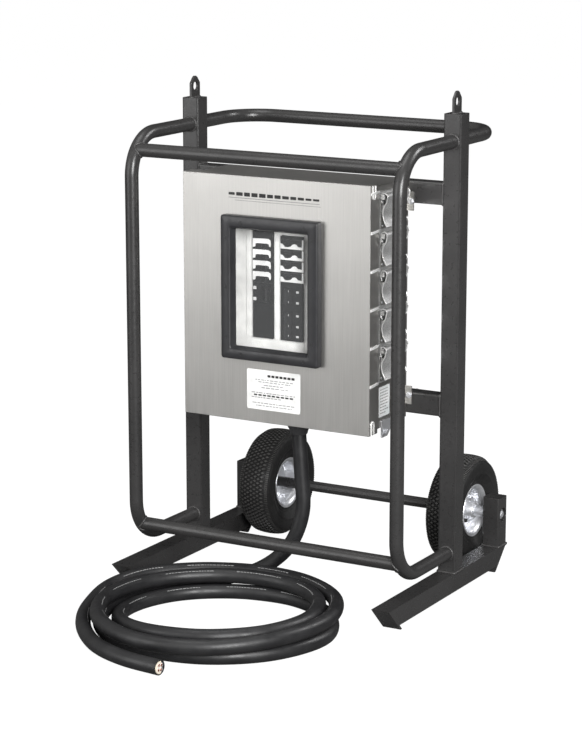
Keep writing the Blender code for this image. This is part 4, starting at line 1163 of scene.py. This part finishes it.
def make_gland():
    """Clamp nut with flutes over a hexagon base and a tapered sleeve."""
    x, y, _ = LEAD_ROUTE[0]
    y = depth(y)
    bm = bmesh.new()
    add_rod(bm, (x, y, 0.4110), (x, y, 0.4161), 0.0300, 48)
    add_rod(bm, (x, y, 0.4020), (x, y, 0.4110), 0.0290, 6)
    steps = 96
    rings = []
    for z, radius, flute in ((0.4020, 0.0262, 0.0), (0.4000, 0.0268, 0.0010), (0.3860, 0.0262, 0.0010),
                             (0.3820, 0.0244, 0.0004), (0.3780, 0.0226, 0.0), (0.3690, 0.0202, 0.0),
                             (0.3671, 0.0190, 0.0), (0.3671, 0.0174, 0.0)):
        ring = []
        for i in range(steps):
            turn = 2.0 * math.pi * i / steps
            r = radius + flute * math.cos(24 * turn)
            ring.append(bm.verts.new((x + r * math.cos(turn), y + r * math.sin(turn), z)))
        rings.append(ring)
    for ring, after in zip(rings, rings[1:]):
        band(bm, ring, after)
    bm.faces.new(rings[0])
    bm.faces.new(rings[-1])
    gland = soften(from_bmesh("gland_nut", bm, "gland"), 0.0006, angle=40.0)
    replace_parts(ride(gland, "frame"), "cord_gland")
    return gland


def make_cord_end():
    """Filler and four stranded cores that show at the cut end."""
    x, y, z = TAIL_ROUTE[-1]
    y = depth(y)
    bm = bmesh.new()
    add_rod(bm, (x - 0.0020, y, z), (x + 0.0006, y, z), 0.0142, 48, 0.0138)
    filler = ride(from_bmesh("cord_end_filler", bm, "filler"), "frame")
    cores = bmesh.new()
    wires = bmesh.new()
    for i in range(4):
        turn = math.radians(35.0 + 90.0 * i)
        cy = y + 0.0070 * math.cos(turn)
        cz = z + 0.0070 * math.sin(turn)
        add_rod(cores, (x - 0.0010, cy, cz), (x + 0.0012, cy, cz), 0.0052, 32, 0.0050)
        for k in range(7):
            swing = math.radians(60.0 * k)
            out = 0.0 if k == 6 else 0.0026
            wy = cy + out * math.cos(swing)
            wz = cz + out * math.sin(swing)
            add_rod(wires, (x, wy, wz), (x + 0.0019, wy, wz), 0.00135, 12, 0.0011)
    shells = ride(from_bmesh("cord_end_cores", cores, "label"), "frame")
    strands = ride(from_bmesh("cord_end_strands", wires, "copper"), "frame")
    return [filler, shells, strands]


def make_cord_print(points):
    """A row of short pale bars along the jacket, in groups."""
    rng = random.Random(12)
    fine = evenly(points, 0.002)
    centre = Vector((COIL_X, depth(COIL_Y), 0.0))
    bm = bmesh.new()
    at = 260
    while at < len(fine) - 40:
        for _ in range(rng.randint(9, 16)):
            size = rng.choice((2, 2, 3, 3, 4))
            if at + size + 2 >= len(fine):
                break
            rows = []
            for k in range(at, at + size + 1):
                along = (fine[k + 1] - fine[k - 1]).normalized()
                inward = centre - fine[k]
                inward.z = 0.0
                wish = Vector((0.0, 0.0, 0.80)) + inward.normalized() * 0.60
                out = (wish - along * wish.dot(along)).normalized()
                across = along.cross(out)
                row = []
                for lean in (-0.05, 0.0, 0.05):
                    arm = out * math.cos(lean) + across * math.sin(lean)
                    row.append(bm.verts.new(fine[k] + arm * (CORD_R + 0.00012)))
                rows.append(row)
            for row, after in zip(rows, rows[1:]):
                band(bm, row, after, 2)
            at += size + 1
        at += rng.randint(18, 34)
    return ride(from_bmesh("cord_print", bm, "cord_ink"), "frame")


# ------------------------------------------------------------------- making
setup_materials()
make_camera()
make_stage()
gland_piece = make_gland()
end_pieces = make_cord_end()
cord_points = cord_centreline()
print_piece = make_cord_print(cord_points)
make_cord(cord_points)
make_tubes()
make_welds()
for wheel_side, wheel_word in ((-1, "left"), (1, "right")):
    make_tyre(wheel_side, wheel_word)
    make_rim(wheel_side, wheel_word)
make_bezel()
make_door_print()
make_door_clamps()
make_side_label()
make_breaker_faces()
make_outlets()
make_fasteners()

KEPT = {
    "powder": (("upright_left", "upright_right", "wheel_post_left", "wheel_post_right", "mounting_rail_upper",
                "mounting_rail_lower", "lifting_lug_left", "lifting_lug_right", "axle_spacer"), 0.0012),
    "steel": (("enclosure_body", "door", "hinge_leaf_fixed", "hinge_leaf_moving", "hinge_pin"), 0.0011),
    "lid": (("outlet_panel",), 0.0008),
    "zinc": (("axle_rod", "axle_spacer_left", "axle_spacer_right"), 0.0006),
    "enamel": (("dead_front",), 0.0005),
    "pan": (("back_pan",), 0.0005),
    "clear": (("window_pane",), 0.0004),
    "breaker": (("filler_blank", "breaker_bank_left", "breaker_bank_right"), 0.0006),
    "bus": (("bus_assembly",), 0.0008),
    "bolt": (("ground_lug",), 0.0006),
    "seal": (("door_gasket",), 0.0010),
}
for material_key, (node_names, bevel_width) in KEPT.items():
    for node_name in node_names:
        paint_node(node_name, material_key, bevel_width)
for node_name in ("foot_left", "foot_right"):
    paint_node(node_name, "powder")
for node_name in NODES:
    if node_name.startswith("toggle_"):
        paint_node(node_name, "toggle", 0.0006)
